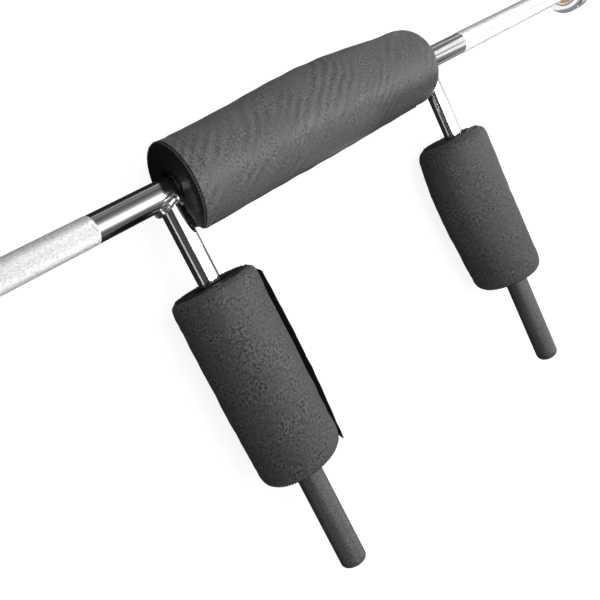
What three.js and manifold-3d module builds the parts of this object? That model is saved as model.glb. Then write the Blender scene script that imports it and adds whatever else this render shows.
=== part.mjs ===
// Safety squat bar: a straight bar with turning plate sleeves, two welded arms
// with hand grips, and three hook-and-loop foam pads.
//
// Lengths are millimetres. +X runs along the bar, -Y along the arms and +Z up.
// The bar lies on its three pads, and the origin is on the floor under the
// middle of the bar's axis. Left is the -X side.

import * as THREE from 'three';
import { mergeVertices } from 'three/addons/utils/BufferGeometryUtils.js';
import Module from 'manifold-3d';

const wasm = await Module();
wasm.setup();

// Clearances
const fitGap = 0.3;
const cutOverrun = 6;
const floorFlatDepth = 0.5;

// Facet counts
const roundSides = 24;
const padSides = 28;
const beadSteps = 24;
const beadSides = 6;
const roundingSteps = 3;

// Bar shaft
const shaftRadius = 15;
const knurlRise = 0.4;
const knurlArmMargin = 90.5;
const knurlCollarMargin = 20;
const shoulderStep = 2.5;
const shaftChamfer = 1;
const journalEndClearance = 3;
const snapGrooveDepth = 1.5;
const snapLandLength = 4;

// Sleeves and collars
const collarSpacing = 1310;
const collarRadius = 38;
const collarThickness = 30;
const collarChamfer = 2;
const sleeveRadius = 25;
const sleeveLoadLength = 410;
const sleeveChamfer = 1.5;
const bushingWall = 4.9;
const bushingLength = 45;
const thrustWasherOverlap = 3;
const thrustWasherThickness = 2;
const retainingWasherThickness = 2;
const retainingWasherMargin = 1;
const snapRingThickness = 2;
const snapRingRise = 2.2;
const snapRingMouthDegrees = 40;
const capFlangeThickness = 4;
const capFlangeMargin = 1.5;
const capPlugDepth = 10;
const capWall = 4;

// Arms and grips
const armSpacing = 467;
const armTubeRadius = 12.5;
const armTubeWall = 3;
const leftArmReach = 463;
const rightArmReach = 469;
const weldLeg = 3.4;
const gripWall = 2.7;
const gripTipThickness = 5;
const gripTipRounding = 8;
const gripMouthChamfer = 1;
const plugDepth = 14;
const plugFlangeThickness = 3;

// Pads
const coverThickness = 1.5;
const padEdgeRadius = 8;
const padMouthDepth = 14;
const padSlitWidth = 1.6;
const bellySharpness = 3;
const flapThickness = 1.5;
const flapFacetDegrees = 8;
const neckPadTubeClearance = 1.8;
const neckPadFarGap = 11.7;
const neckPadSag = 1.5;
const neckFacets = 8;
const armFacets = 4;

const neckPad = {
  start: armTubeRadius + neckPadTubeClearance - armSpacing / 2,
  length: armSpacing - 2 * (armTubeRadius + neckPadTubeClearance) - neckPadFarGap,
  facets: neckFacets,
  coreRadius: shaftRadius,
  mouthMargin: 7,
  middleRadius: 51.5,
  crown: 0.7,
  startLateral: -1,
  endLateral: 2,
  startLeanUp: -9.3,
  endLeanUp: 0,
  endLeanLateral: 0,
  belly: 8.5,
  bellyDegrees: 0,
  peakShare: 0.57,
  swellPower: 2,
  slitDegrees: 187,
};
const neckFlap = {
  startDegrees: 184,
  endDegrees: 216,
  startInset: 16,
  endInset: 16,
  startTail: 0,
  endTail: 0,
  tailBulge: 0,
  startLag: 0,
  endLag: 0,
};

const leftArmPad = {
  start: 106,
  length: 219.7,
  facets: armFacets,
  coreRadius: armTubeRadius,
  mouthMargin: 6.5,
  middleRadius: 50.4,
  crown: 0.8,
  startLateral: 1.7,
  endLateral: 1.7,
  startLeanUp: -2.4,
  endLeanUp: 0,
  endLeanLateral: -5.2,
  belly: 0,
  bellyDegrees: 200,
  peakShare: 0.5,
  swellPower: 1,
  slitDegrees: 12,
};
const leftArmFlap = {
  startDegrees: -34,
  endDegrees: 4,
  startInset: 3,
  endInset: 0.8,
  startTail: 20,
  endTail: 15,
  tailBulge: 7,
  startLag: 9,
  endLag: 12,
};

const rightArmPad = {
  ...leftArmPad,
  start: 111.4,
  length: 219.2,
  middleRadius: 49,
  crown: 0.5,
  startLateral: -5.4,
  endLateral: -5.4,
  startLeanUp: 0,
  endLeanLateral: 0,
  belly: 11,
  peakShare: 0.38,
};
const rightArmFlap = {
  ...leftArmFlap,
  endDegrees: 36,
  startInset: 8,
  endInset: 8,
  startTail: 0,
  endTail: 0,
  tailBulge: 0,
  startLag: 0,
  endLag: 0,
};

// Sizes that follow from the ones above
const barAxisHeight = neckPad.middleRadius + neckPadSag - floorFlatDepth;
const collarReach = collarSpacing / 2;
const journalRadius = shaftRadius - shoulderStep;
const sleeveBoreRadius = journalRadius + bushingWall + 2 * fitGap;
const sleeveEndReach = collarReach + collarThickness + sleeveLoadLength;
const shoulderReach = collarReach - thrustWasherThickness - 2 * fitGap;
const journalEndReach = sleeveEndReach - capPlugDepth - journalEndClearance;
const grooveEndReach = journalEndReach - snapLandLength;
const snapRingReach = grooveEndReach - fitGap - snapRingThickness;
const grooveStartReach = snapRingReach - fitGap;
const grooveRadius = journalRadius - snapGrooveDepth;
const retainingWasherReach = snapRingReach - fitGap - retainingWasherThickness;
const outerBushingReach = retainingWasherReach - fitGap - bushingLength;
const gripRadius = armTubeRadius + fitGap + gripWall;
const gripTipDepth = gripTipThickness + plugFlangeThickness + 2 * fitGap;

// Geometry helpers

/** Give a closed geometry shared corners, no empty triangles and faces that point out. */
function closed(geometry) {
  const bare = new THREE.BufferGeometry();
  bare.setAttribute('position', geometry.getAttribute('position'));
  bare.setIndex(geometry.getIndex());
  const merged = mergeVertices(bare);
  const corners = merged.getIndex().array;
  const kept = [];
  for (let i = 0; i < corners.length; i += 3) {
    const [a, b, c] = corners.slice(i, i + 3);
    if (a !== b && b !== c && c !== a) kept.push(a, b, c);
  }
  if (signedVolume(merged, kept) < 0) kept.reverse();
  merged.setIndex(kept);
  return merged;
}

/** Six times the volume enclosed by the triangles, negative when they face inward. */
function signedVolume(geometry, corners) {
  const position = geometry.getAttribute('position');
  const [a, b, c] = [new THREE.Vector3(), new THREE.Vector3(), new THREE.Vector3()];
  let total = 0;
  for (let i = 0; i < corners.length; i += 3) {
    a.fromBufferAttribute(position, corners[i]);
    b.fromBufferAttribute(position, corners[i + 1]);
    c.fromBufferAttribute(position, corners[i + 2]);
    total += a.dot(b.cross(c));
  }
  return total;
}

/** Turn a closed geometry into a solid that can be cut. */
function toSolid(geometry) {
  const shell = closed(geometry);
  return new wasm.Manifold(new wasm.Mesh({
    numProp: 3,
    vertProperties: new Float32Array(shell.getAttribute('position').array),
    triVerts: new Uint32Array(shell.getIndex().array),
  }));
}

/** Cut every tool out of a base geometry. */
function cut(base, ...tools) {
  let solid = toSolid(base);
  for (const tool of tools) solid = solid.subtract(toSolid(tool));
  const { vertProperties, triVerts } = solid.getMesh();
  const geometry = new THREE.BufferGeometry();
  geometry.setAttribute('position', new THREE.BufferAttribute(vertProperties, 3));
  geometry.setIndex(new THREE.BufferAttribute(triVerts, 1));
  return geometry;
}

/** Revolve [radius, distance] points about the X axis. */
function turned(points, sides = roundSides) {
  const profile = points.map(([radius, distance]) => new THREE.Vector2(radius, distance));
  return new THREE.LatheGeometry(profile, sides).rotateZ(-Math.PI / 2);
}

/** A plain ring about the X axis from one distance to another. */
function ring(innerRadius, outerRadius, start, end, sides = roundSides) {
  return turned([
    [innerRadius, start],
    [outerRadius, start],
    [outerRadius, end],
    [innerRadius, end],
    [innerRadius, start],
  ], sides);
}

/** A plain round bar about the X axis from one distance to another. */
function rod(radius, start, end, sides = roundSides) {
  return turned([[0, start], [radius, start], [radius, end], [0, end]], sides);
}

/** The faces between rings of corners that follow each other. */
function sideFaces(ringCount, sides) {
  const faces = [];
  for (let i = 0; i + 1 < ringCount; i += 1) {
    for (let k = 0; k < sides; k += 1) {
      const next = (k + 1) % sides;
      const [a, b] = [i * sides + k, i * sides + next];
      const [c, d] = [a + sides, b + sides];
      faces.push(a, b, c, b, d, c);
    }
  }
  return faces;
}

/** A geometry of rings of points and the faces that join them. */
function fromRings(rings, faces) {
  const corners = rings.flat().flatMap((point) => point.toArray());
  const geometry = new THREE.BufferGeometry();
  geometry.setAttribute('position', new THREE.Float32BufferAttribute(corners, 3));
  geometry.setIndex(faces);
  return geometry;
}

/** Join rings of points, each with as many corners, into one closed body. */
function skinned(drawnRings) {
  const outline = (points) => points.map((point) => new THREE.Vector2(point.y, point.z));
  const clockwise = THREE.ShapeUtils.isClockWise(outline(drawnRings[0]));
  const rings = clockwise ? drawnRings.map((points) => [...points].reverse()) : drawnRings;
  const sides = rings[0].length;
  const lastRing = (rings.length - 1) * sides;
  const faces = sideFaces(rings.length, sides);
  for (const [p, q, r] of THREE.ShapeUtils.triangulateShape(outline(rings[0]), [])) {
    faces.push(r, q, p);
  }
  for (const [p, q, r] of THREE.ShapeUtils.triangulateShape(outline(rings.at(-1)), [])) {
    faces.push(lastRing + p, lastRing + q, lastRing + r);
  }
  return fromRings(rings, faces);
}

/** A named sub-part with its own material. */
function piece(name, geometry, finish) {
  const body = closed(geometry).toNonIndexed();
  body.computeVertexNormals();
  const mesh = new THREE.Mesh(body, new THREE.MeshStandardMaterial(finish));
  mesh.name = name;
  return mesh;
}

// Finishes
const chrome = { color: 0xd9dbdd, roughness: 0.12, metalness: 1 };
const steel = { color: 0x8b8e91, roughness: 0.4, metalness: 1 };
const bronze = { color: 0xb08d57, roughness: 0.35, metalness: 1 };
const fabric = { color: 0x4c4c4e, roughness: 0.95, metalness: 0 };
const closureTape = { color: 0x0c0c0d, roughness: 0.9, metalness: 0 };
const foam = { color: 0x2a2a2b, roughness: 0.95, metalness: 0 };
const gripRubber = { color: 0x2d2d2f, roughness: 0.85, metalness: 0 };
const plastic = { color: 0x151516, roughness: 0.6, metalness: 0 };

// Bar shaft

/** The shaft's outline from its middle to one end, as [radius, distance] points. */
function shaftOutline() {
  const knurlRadius = shaftRadius + knurlRise;
  const knurlStartReach = armSpacing / 2 + knurlArmMargin;
  const knurlEndReach = shoulderReach - knurlCollarMargin;
  return [
    [shaftRadius, knurlStartReach],
    [knurlRadius, knurlStartReach + knurlRise],
    [knurlRadius, knurlEndReach - knurlRise],
    [shaftRadius, knurlEndReach],
    [shaftRadius, shoulderReach - shaftChamfer],
    [shaftRadius - shaftChamfer, shoulderReach],
    [journalRadius, shoulderReach],
    [journalRadius, grooveStartReach],
    [grooveRadius, grooveStartReach],
    [grooveRadius, grooveEndReach],
    [journalRadius, grooveEndReach],
    [journalRadius, journalEndReach - shaftChamfer],
    [journalRadius - shaftChamfer, journalEndReach],
    [0, journalEndReach],
  ];
}

/** The whole shaft, alike on both sides of its middle. */
function barShaft() {
  const half = shaftOutline();
  const mirrored = half.map(([radius, distance]) => [radius, -distance]).reverse();
  return turned([...mirrored, ...half]);
}

// Sleeves, built towards +X and turned round for the left side

/** The parts that stay with the shaft and hold one sleeve on it. */
function sleeveRetainers(side) {
  const bore = journalRadius + fitGap;
  const snapRing = cut(
    ring(grooveRadius + fitGap, journalRadius + snapRingRise, snapRingReach,
      snapRingReach + snapRingThickness),
    snapRingMouth(),
  );
  return [
    piece(`${side}_thrust_washer`, ring(bore, sleeveBoreRadius + thrustWasherOverlap,
      shoulderReach + fitGap, shoulderReach + fitGap + thrustWasherThickness), bronze),
    piece(`${side}_retaining_washer`, ring(bore, sleeveBoreRadius - retainingWasherMargin,
      retainingWasherReach, retainingWasherReach + retainingWasherThickness), steel),
    piece(`${side}_snap_ring`, snapRing, steel),
  ];
}

/** The wedge that opens the snap ring, so that it can spring into its groove. */
function snapRingMouth() {
  const outer = journalRadius + snapRingRise + cutOverrun;
  const halfMouth = outer * Math.tan(THREE.MathUtils.degToRad(snapRingMouthDegrees / 2));
  const wedge = new THREE.Shape([
    new THREE.Vector2(0, 0),
    new THREE.Vector2(halfMouth, outer),
    new THREE.Vector2(-halfMouth, outer),
  ]);
  const depth = snapRingThickness + 2 * cutOverrun;
  const geometry = new THREE.ExtrudeGeometry(wedge, { depth, bevelEnabled: false });
  geometry.rotateX(Math.PI / 2).rotateY(Math.PI / 2).rotateX(Math.PI / 2);
  return geometry.translate(snapRingReach - cutOverrun, 0, 0);
}

/** The sleeve tube with chamfered ends. */
function sleeveTube() {
  return turned([
    [sleeveBoreRadius, collarReach],
    [sleeveRadius - sleeveChamfer, collarReach],
    [sleeveRadius, collarReach + sleeveChamfer],
    [sleeveRadius, sleeveEndReach - sleeveChamfer],
    [sleeveRadius - sleeveChamfer, sleeveEndReach],
    [sleeveBoreRadius, sleeveEndReach],
    [sleeveBoreRadius, collarReach],
  ]);
}

/** The collar that the plates bear on. */
function collar() {
  const bore = sleeveRadius + fitGap;
  const end = collarReach + collarThickness;
  return turned([
    [bore, collarReach],
    [collarRadius - collarChamfer, collarReach],
    [collarRadius, collarReach + collarChamfer],
    [collarRadius, end - collarChamfer],
    [collarRadius - collarChamfer, end],
    [bore, end],
    [bore, collarReach],
  ]);
}

/** The cap that closes the sleeve's outer end, hollow towards the shaft. */
function sleeveCap() {
  const plugRadius = sleeveBoreRadius - fitGap;
  const seat = sleeveEndReach + fitGap;
  const flangeRadius = sleeveRadius - capFlangeMargin;
  return turned([
    [0, seat],
    [plugRadius - capWall, seat],
    [plugRadius - capWall, sleeveEndReach - capPlugDepth],
    [plugRadius, sleeveEndReach - capPlugDepth],
    [plugRadius, seat],
    [flangeRadius, seat],
    [flangeRadius, seat + capFlangeThickness - capFlangeMargin],
    [flangeRadius - capFlangeMargin, seat + capFlangeThickness],
    [0, seat + capFlangeThickness],
  ]);
}

/** The pieces that turn together on one end of the shaft. */
function sleeveAssembly(side) {
  const bushing = (start) => ring(journalRadius + fitGap, sleeveBoreRadius - fitGap,
    start, start + bushingLength);
  return [
    piece(`${side}_sleeve`, sleeveTube(), chrome),
    piece(`${side}_collar`, collar(), chrome),
    piece(`${side}_inner_bushing`, bushing(collarReach), bronze),
    piece(`${side}_outer_bushing`, bushing(outerBushingReach), bronze),
    piece(`${side}_sleeve_cap`, sleeveCap(), plastic),
  ];
}

// Arms, built along +X from the bar's axis, with the bar along Y

/** The bar's shaft as a cutting tool across an arm. */
function shaftCutter() {
  const reach = armTubeRadius + weldLeg + cutOverrun;
  return rod(shaftRadius + fitGap, -reach, reach).rotateZ(Math.PI / 2);
}

/** The arm's tube, shaped to the bar where it meets it. */
function armTube(reach) {
  const end = reach - gripTipDepth;
  return cut(ring(armTubeRadius - armTubeWall, armTubeRadius, 0, end), shaftCutter());
}

/** One section of the weld bead, at an angle round the arm. */
function beadSection(around) {
  const outward = new THREE.Vector3(0, Math.cos(around), Math.sin(around));
  const height = armTubeRadius * Math.sin(around);
  const seam = Math.sqrt(Math.max(0, shaftRadius ** 2 - height ** 2));
  const centre = outward.clone().multiplyScalar(armTubeRadius).setX(seam);
  return Array.from({ length: beadSides }, (_, k) => {
    const turn = (2 * Math.PI * k) / beadSides;
    const point = centre.clone().addScaledVector(outward, weldLeg * Math.sin(turn));
    point.x += weldLeg * Math.cos(turn);
    return point;
  });
}

/** The weld bead in the corner all round the joint of the arm and the bar. */
function weldBead() {
  const sections = Array.from({ length: beadSteps + 1 }, (_, i) => (
    beadSection((2 * Math.PI * i) / beadSteps)
  ));
  const torus = fromRings(sections, sideFaces(sections.length, beadSides));
  const tubeCutter = rod(armTubeRadius + fitGap, -cutOverrun, shaftRadius + weldLeg + cutOverrun);
  return cut(torus, shaftCutter(), tubeCutter);
}

/** The plug that closes the tube's end under the grip. */
function armEndPlug(reach) {
  const plugRadius = armTubeRadius - armTubeWall - fitGap;
  const tubeEnd = reach - gripTipDepth;
  const seat = tubeEnd + fitGap;
  return turned([
    [0, tubeEnd - plugDepth],
    [plugRadius, tubeEnd - plugDepth],
    [plugRadius, seat],
    [armTubeRadius, seat],
    [armTubeRadius, seat + plugFlangeThickness],
    [0, seat + plugFlangeThickness],
  ]);
}

/** How far a grip reaches into its pad's mouth before the mouth gets too narrow. */
function gripEntry(pad) {
  const spare = pad.coreRadius + pad.mouthMargin - gripRadius - 2 * fitGap;
  return padMouthDepth * (spare / (pad.mouthMargin - fitGap));
}

/** The hand grip with its rounded, closed tip. */
function handGrip(pad, reach) {
  const start = pad.start + pad.length - gripEntry(pad);
  const bore = armTubeRadius + fitGap;
  const tip = [];
  for (let i = 0; i <= roundingSteps; i += 1) {
    const turn = (Math.PI / 2) * (i / roundingSteps);
    tip.push([
      gripRadius - gripTipRounding * (1 - Math.cos(turn)),
      reach - gripTipRounding * (1 - Math.sin(turn)),
    ]);
  }
  return turned([
    [0, reach - gripTipThickness],
    [bore, reach - gripTipThickness],
    [bore, start],
    [gripRadius - gripMouthChamfer, start],
    [gripRadius, start + gripMouthChamfer],
    ...tip,
    [0, reach],
  ]);
}

// Pads, built along +X from their start, with Y to their lateral side

/** How far the pad has swollen at a share of its length, from 0 at its ends to 1. */
function swell(pad, share) {
  const peakPower = Math.log(0.5) / Math.log(pad.peakShare);
  return Math.sin(Math.PI * share ** peakPower) ** pad.swellPower;
}

/** The pad's radius at a share of its length and an angle from its lateral side. */
function padRadius(pad, share, angle) {
  const rise = swell(pad, share);
  const facing = Math.cos(angle - THREE.MathUtils.degToRad(pad.bellyDegrees));
  const round = pad.middleRadius - pad.crown * (1 - rise);
  return round + pad.belly * rise * Math.max(0, facing) ** bellySharpness;
}

/** How far a point of the pad is shifted along it, because the pad's ends lean. */
function padLean(pad, share, angle, radius) {
  const up = THREE.MathUtils.lerp(pad.startLeanUp, pad.endLeanUp, share);
  const lateral = pad.endLeanLateral * share;
  return (up * Math.sin(angle) + lateral * Math.cos(angle)) * (radius / pad.middleRadius);
}

/** A point beside the pad's surface, before the pad settles on the floor. */
function padPoint(pad, distance, angle, offset) {
  const share = THREE.MathUtils.clamp(distance / pad.length, 0, 1);
  const radius = padRadius(pad, share, angle) + offset;
  const along = distance + padLean(pad, share, angle, radius);
  const lateral = THREE.MathUtils.lerp(pad.startLateral, pad.endLateral, share);
  return new THREE.Vector3(along, lateral + radius * Math.cos(angle), radius * Math.sin(angle));
}

/** The stations along a pad, with how far its rounded edges draw in there. */
function padStations(pad, inset) {
  const edge = padEdgeRadius - inset;
  const rounding = [0, Math.PI / 4, Math.PI / 2].map((turn) => ({
    distance: inset + edge * (1 - Math.cos(turn)),
    drawIn: edge * (1 - Math.sin(turn)),
  }));
  const straight = pad.length - 2 * padEdgeRadius;
  const middle = Array.from({ length: pad.facets - 1 }, (_, i) => ({
    distance: padEdgeRadius + straight * ((i + 1) / pad.facets),
    drawIn: 0,
  }));
  const farRounding = rounding.map(({ distance, drawIn }) => ({
    distance: pad.length - distance,
    drawIn,
  })).reverse();
  return [...rounding, ...middle, ...farRounding];
}

/** The pad's outline rings, drawn in evenly by an inset. */
function padRings(pad, inset) {
  return padStations(pad, inset).map(({ distance, drawIn }) => (
    Array.from({ length: padSides }, (_, k) => (
      padPoint(pad, distance, (2 * Math.PI * k) / padSides, -inset - drawIn)
    ))
  ));
}

/** How far a pad moves up or down so that its underside meets the floor. */
function padSettling(pad) {
  const lowest = Math.min(...padRings(pad, 0).flat().map((point) => point.z));
  return -barAxisHeight - floorFlatDepth - lowest;
}

/** The pad's body, drawn in by an inset and settled on the floor. */
function padBody(pad, inset) {
  return skinned(padRings(pad, inset)).translate(0, 0, padSettling(pad));
}

/** The lengthwise slit through which the pad goes on its tube. */
function padSlit(pad) {
  const reach = pad.middleRadius + pad.belly + cutOverrun;
  const blade = new THREE.BoxGeometry(pad.length + 2 * cutOverrun, reach, padSlitWidth);
  blade.translate(pad.length / 2, reach / 2, 0);
  return blade.rotateX(THREE.MathUtils.degToRad(pad.slitDegrees));
}

/** The foam roll, with a bore that widens at its mouths. */
function padFoam(pad) {
  const bore = pad.coreRadius + fitGap;
  const mouth = pad.coreRadius + pad.mouthMargin;
  const boreTool = turned([
    [0, -cutOverrun],
    [mouth, -cutOverrun],
    [mouth, 0],
    [bore, padMouthDepth],
    [bore, pad.length - padMouthDepth],
    [mouth, pad.length],
    [mouth, pad.length + cutOverrun],
    [0, pad.length + cutOverrun],
  ]);
  return cut(padBody(pad, coverThickness + fitGap), boreTool, padSlit(pad));
}

/** The sewn cover, open round the tube, along the slit and flat where it meets the floor. */
function padCover(pad) {
  const mouth = rod(pad.coreRadius + pad.mouthMargin, -cutOverrun, pad.length + cutOverrun);
  const floorSize = pad.length + 2 * cutOverrun;
  const floor = new THREE.BoxGeometry(floorSize, floorSize, cutOverrun);
  floor.translate(pad.length / 2, 0, -barAxisHeight - cutOverrun / 2);
  return cut(padBody(pad, 0), padBody(pad, coverThickness), mouth, padSlit(pad), floor);
}

/** The places along a pad where its closure flap has corners: its ends and the pad's own. */
function flapDistances(pad, flap) {
  const start = flap.startInset;
  const end = pad.length - flap.endInset;
  const between = padStations(pad, 0).map(({ distance }) => distance)
    .filter((distance) => distance > start + fitGap && distance < end - fitGap);
  return [start, ...between, end];
}

/** How long a flap's free tail is at a share of the flap's length. */
function tailLength(flap, share) {
  const bulge = flap.tailBulge * Math.sin(Math.PI * share);
  return THREE.MathUtils.lerp(flap.startTail, flap.endTail, share) + bulge;
}

/** One long face of a flap at a distance along its pad, out to the tip of its tail. */
function flapEdge(pad, flap, distance, offset) {
  const fromAngle = THREE.MathUtils.degToRad(flap.startDegrees);
  const toAngle = THREE.MathUtils.degToRad(flap.endDegrees);
  const steps = Math.ceil((flap.endDegrees - flap.startDegrees) / flapFacetDegrees);
  const points = Array.from({ length: steps + 1 }, (_, i) => (
    padPoint(pad, distance, THREE.MathUtils.lerp(fromAngle, toAngle, i / steps), offset)
  ));
  const share = (distance - flap.startInset) / (pad.length - flap.endInset - flap.startInset);
  const tail = tailLength(flap, share);
  if (tail > 0) {
    const tangent = new THREE.Vector3(0, -Math.sin(toAngle), Math.cos(toAngle));
    const tip = points.at(-1).clone().addScaledVector(tangent, tail);
    tip.x += THREE.MathUtils.lerp(flap.startLag, flap.endLag, share);
    points.push(tip);
  }
  return points;
}

/** The closure tape along the slit. A tail stands off the pad where it isn't pressed down. */
function padFlap(pad, flap) {
  const rings = flapDistances(pad, flap).map((distance) => {
    const inside = flapEdge(pad, flap, distance, fitGap);
    const outside = flapEdge(pad, flap, distance, fitGap + flapThickness);
    return [...inside, ...outside.reverse()];
  });
  return skinned(rings).translate(0, 0, padSettling(pad));
}

/** A pad's foam, cover and closure flap. */
function padPieces(name, pad, flap) {
  return [
    piece(`${name}_foam`, padFoam(pad), foam),
    piece(`${name}_cover`, padCover(pad), fabric),
    piece(`${name}_closure_flap`, padFlap(pad, flap), closureTape),
  ];
}

/** One arm with its weld, pad, end plug and grip. */
function armAssembly(side, pad, flap, reach) {
  const padGroup = new THREE.Group().add(...padPieces(`${side}_arm_pad`, pad, flap));
  padGroup.position.x = pad.start;
  return [
    piece(`${side}_arm_tube`, armTube(reach), chrome),
    piece(`${side}_arm_weld`, weldBead(), chrome),
    piece(`${side}_arm_end_plug`, armEndPlug(reach), plastic),
    piece(`${side}_hand_grip`, handGrip(pad, reach), gripRubber),
    padGroup,
  ];
}

// The whole bar, with every group on the bar's axis
const squatBar = new THREE.Group();

const barGroup = new THREE.Group().add(piece('bar_shaft', barShaft(), chrome));
barGroup.position.z = barAxisHeight;
squatBar.add(barGroup);

const neckPadGroup = new THREE.Group().add(...padPieces('neck_pad', neckPad, neckFlap));
neckPadGroup.position.set(neckPad.start, 0, barAxisHeight);
squatBar.add(neckPadGroup);

const sides = [
  { side: 'left', facing: -1, reach: leftArmReach, pad: leftArmPad, flap: leftArmFlap },
  { side: 'right', facing: 1, reach: rightArmReach, pad: rightArmPad, flap: rightArmFlap },
];
for (const { side, facing, reach, pad, flap } of sides) {
  const armGroup = new THREE.Group().add(...armAssembly(side, pad, flap, reach));
  armGroup.position.set((facing * armSpacing) / 2, 0, barAxisHeight);
  armGroup.rotation.z = -Math.PI / 2;
  const sleeveGroup = new THREE.Group().add(...sleeveRetainers(side), ...sleeveAssembly(side));
  sleeveGroup.position.z = barAxisHeight;
  sleeveGroup.rotation.z = facing < 0 ? Math.PI : 0;
  squatBar.add(armGroup, sleeveGroup);
}

export default squatBar;
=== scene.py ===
"""Safety squat bar: the finished looks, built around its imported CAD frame.

Pieces are drawn in millimetres along +X and placed in metres. +X runs along the bar, -Y along
the arms and +Z up. The bar lies on its three pads, and left is the -X side.
"""

import logging
import math
from dataclasses import dataclass, field, replace
from enum import Enum
from functools import partial, reduce
from typing import Optional, Sequence, Union

import bpy
import numpy as np
from mathutils import Matrix, Vector


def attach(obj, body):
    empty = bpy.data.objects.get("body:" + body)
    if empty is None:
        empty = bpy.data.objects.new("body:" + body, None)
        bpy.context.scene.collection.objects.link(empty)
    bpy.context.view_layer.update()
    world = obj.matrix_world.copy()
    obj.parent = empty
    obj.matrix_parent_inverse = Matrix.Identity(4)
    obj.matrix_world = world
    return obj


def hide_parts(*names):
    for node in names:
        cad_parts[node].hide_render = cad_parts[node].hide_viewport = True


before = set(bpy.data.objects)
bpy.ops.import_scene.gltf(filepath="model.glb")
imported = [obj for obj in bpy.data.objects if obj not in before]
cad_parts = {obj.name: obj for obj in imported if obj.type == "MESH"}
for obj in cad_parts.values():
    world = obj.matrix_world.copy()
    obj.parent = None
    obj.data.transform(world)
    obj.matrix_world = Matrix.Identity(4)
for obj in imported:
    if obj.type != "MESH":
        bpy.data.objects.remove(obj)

log = logging.getLogger("squat_bar")

MM = 0.001
AXIS_HEIGHT = 52.5
ARM_SPACING = 467.0
SHAFT_RADIUS = 15.0
TUBE_RADIUS = 12.5
FLOOR_CLEARANCE = 0.05
ROUND_SIDES = 96
FULL_TURN = 2 * math.pi

Piece = bpy.types.Object
Tree = bpy.types.NodeTree
Node = bpy.types.Node
Socket = bpy.types.NodeSocket
Sockets = bpy.types.bpy_prop_collection
Value = Union[float, int, Sequence[float], Socket]
Colour = tuple[float, float, float]
Point = tuple[float, float, float]
Span = tuple[float, float]
Outline = Sequence[Span]


class Side(Enum):
    """The two ends of the bar."""

    LEFT = "left"
    RIGHT = "right"

    @property
    def sign(self) -> int:
        """-1 towards -X and 1 towards +X."""
        return -1 if self is Side.LEFT else 1

    @property
    def body(self) -> str:
        """The CAD body that turns on this end."""
        return f"{self.value}_sleeve"


class Zone(Enum):
    """The parts of a pad's cover, from its mouth outwards."""

    HEM = 0
    PANEL = 1
    BODY = 2


# Node trees


class TreeSketch:
    """A node tree that is drawn node by node."""

    def __init__(self, tree: Tree) -> None:
        """Keep the shader or geometry tree to draw in."""
        self.tree = tree

    def put(self, socket: Socket, value: Value) -> None:
        """Link an output to a socket, or write a plain value on it.

        Args:
            socket: The input socket.
            value: An output socket, a number, a colour or a vector.
        """
        if isinstance(value, Socket):
            self.tree.links.new(value, socket)
        elif socket.type == "RGBA" and len(value) == 3:
            socket.default_value = (*value, 1.0)
        else:
            socket.default_value = value

    def node(self, kind: str, inputs: Optional[dict] = None, **settings: object) -> Node:
        """Add a node.

        Args:
            kind: The node's type.
            inputs: Values by socket name or number.
            **settings: The node's own options.

        Returns:
            The node.
        """
        made = self.tree.nodes.new(kind)
        for name, choice in settings.items():
            setattr(made, name, choice)
        for key, value in (inputs or {}).items():
            self.put(made.inputs[key], value)
        return made

    def math(self, operation: str, *values: Value) -> Socket:
        """Apply a Math operation to its operands, in order."""
        return self.node("ShaderNodeMath", dict(enumerate(values)), operation=operation).outputs[0]

    def vector(self, operation: str, *values: Value) -> Socket:
        """Apply a Vector Math operation that gives a vector to its operands, in order."""
        made = self.node("ShaderNodeVectorMath", dict(enumerate(values)), operation=operation)
        return made.outputs["Vector"]

    def product(self, *values: Value) -> Socket:
        """Multiply values with each other."""
        return reduce(partial(self.math, "MULTIPLY"), values)

    def total(self, *values: Value) -> Socket:
        """Add values up."""
        return reduce(partial(self.math, "ADD"), values)

    def scaled(self, vector: Value, factor: Value) -> Socket:
        """Multiply a vector by a number."""
        scale = {0: vector, "Scale": factor}
        return self.node("ShaderNodeVectorMath", scale, operation="SCALE").outputs["Vector"]

    def axes(self, vector: Value) -> Sockets:
        """The X, Y and Z of a vector."""
        return self.node("ShaderNodeSeparateXYZ", {0: vector}).outputs

    def remap(self, value: Value, low: float, high: float, to_low: float, to_high: float) -> Socket:
        """Map a value from one range to another, held inside it.

        Args:
            value: The value to map.
            low: Start of its range.
            high: End of its range.
            to_low: What the start becomes.
            to_high: What the end becomes.

        Returns:
            The output socket.
        """
        made = self.node("ShaderNodeMapRange", {
            "Value": value, "From Min": low, "From Max": high, "To Min": to_low, "To Max": to_high,
        })
        return made.outputs["Result"]

    def blend(self, share: Value, first: Value, second: Value) -> Socket:
        """Mix two colours by the share of the second one."""
        mix = {"Factor": share, "A": first, "B": second}
        return self.node("ShaderNodeMix", mix, data_type="RGBA").outputs["Result"]

    def noise(self, place: Value, scale: Value, detail: float = 2.0, roughness: float = 0.5) -> Socket:
        """Add soft noise.

        Args:
            place: The coordinates.
            scale: Features per metre.
            detail: Number of finer layers.
            roughness: Strength of the finer layers.

        Returns:
            The noise, from 0 to 1.
        """
        made = self.node("ShaderNodeTexNoise", {
            "Vector": place, "Scale": scale, "Detail": detail, "Roughness": roughness,
        })
        return made.outputs["Fac"]


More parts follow.
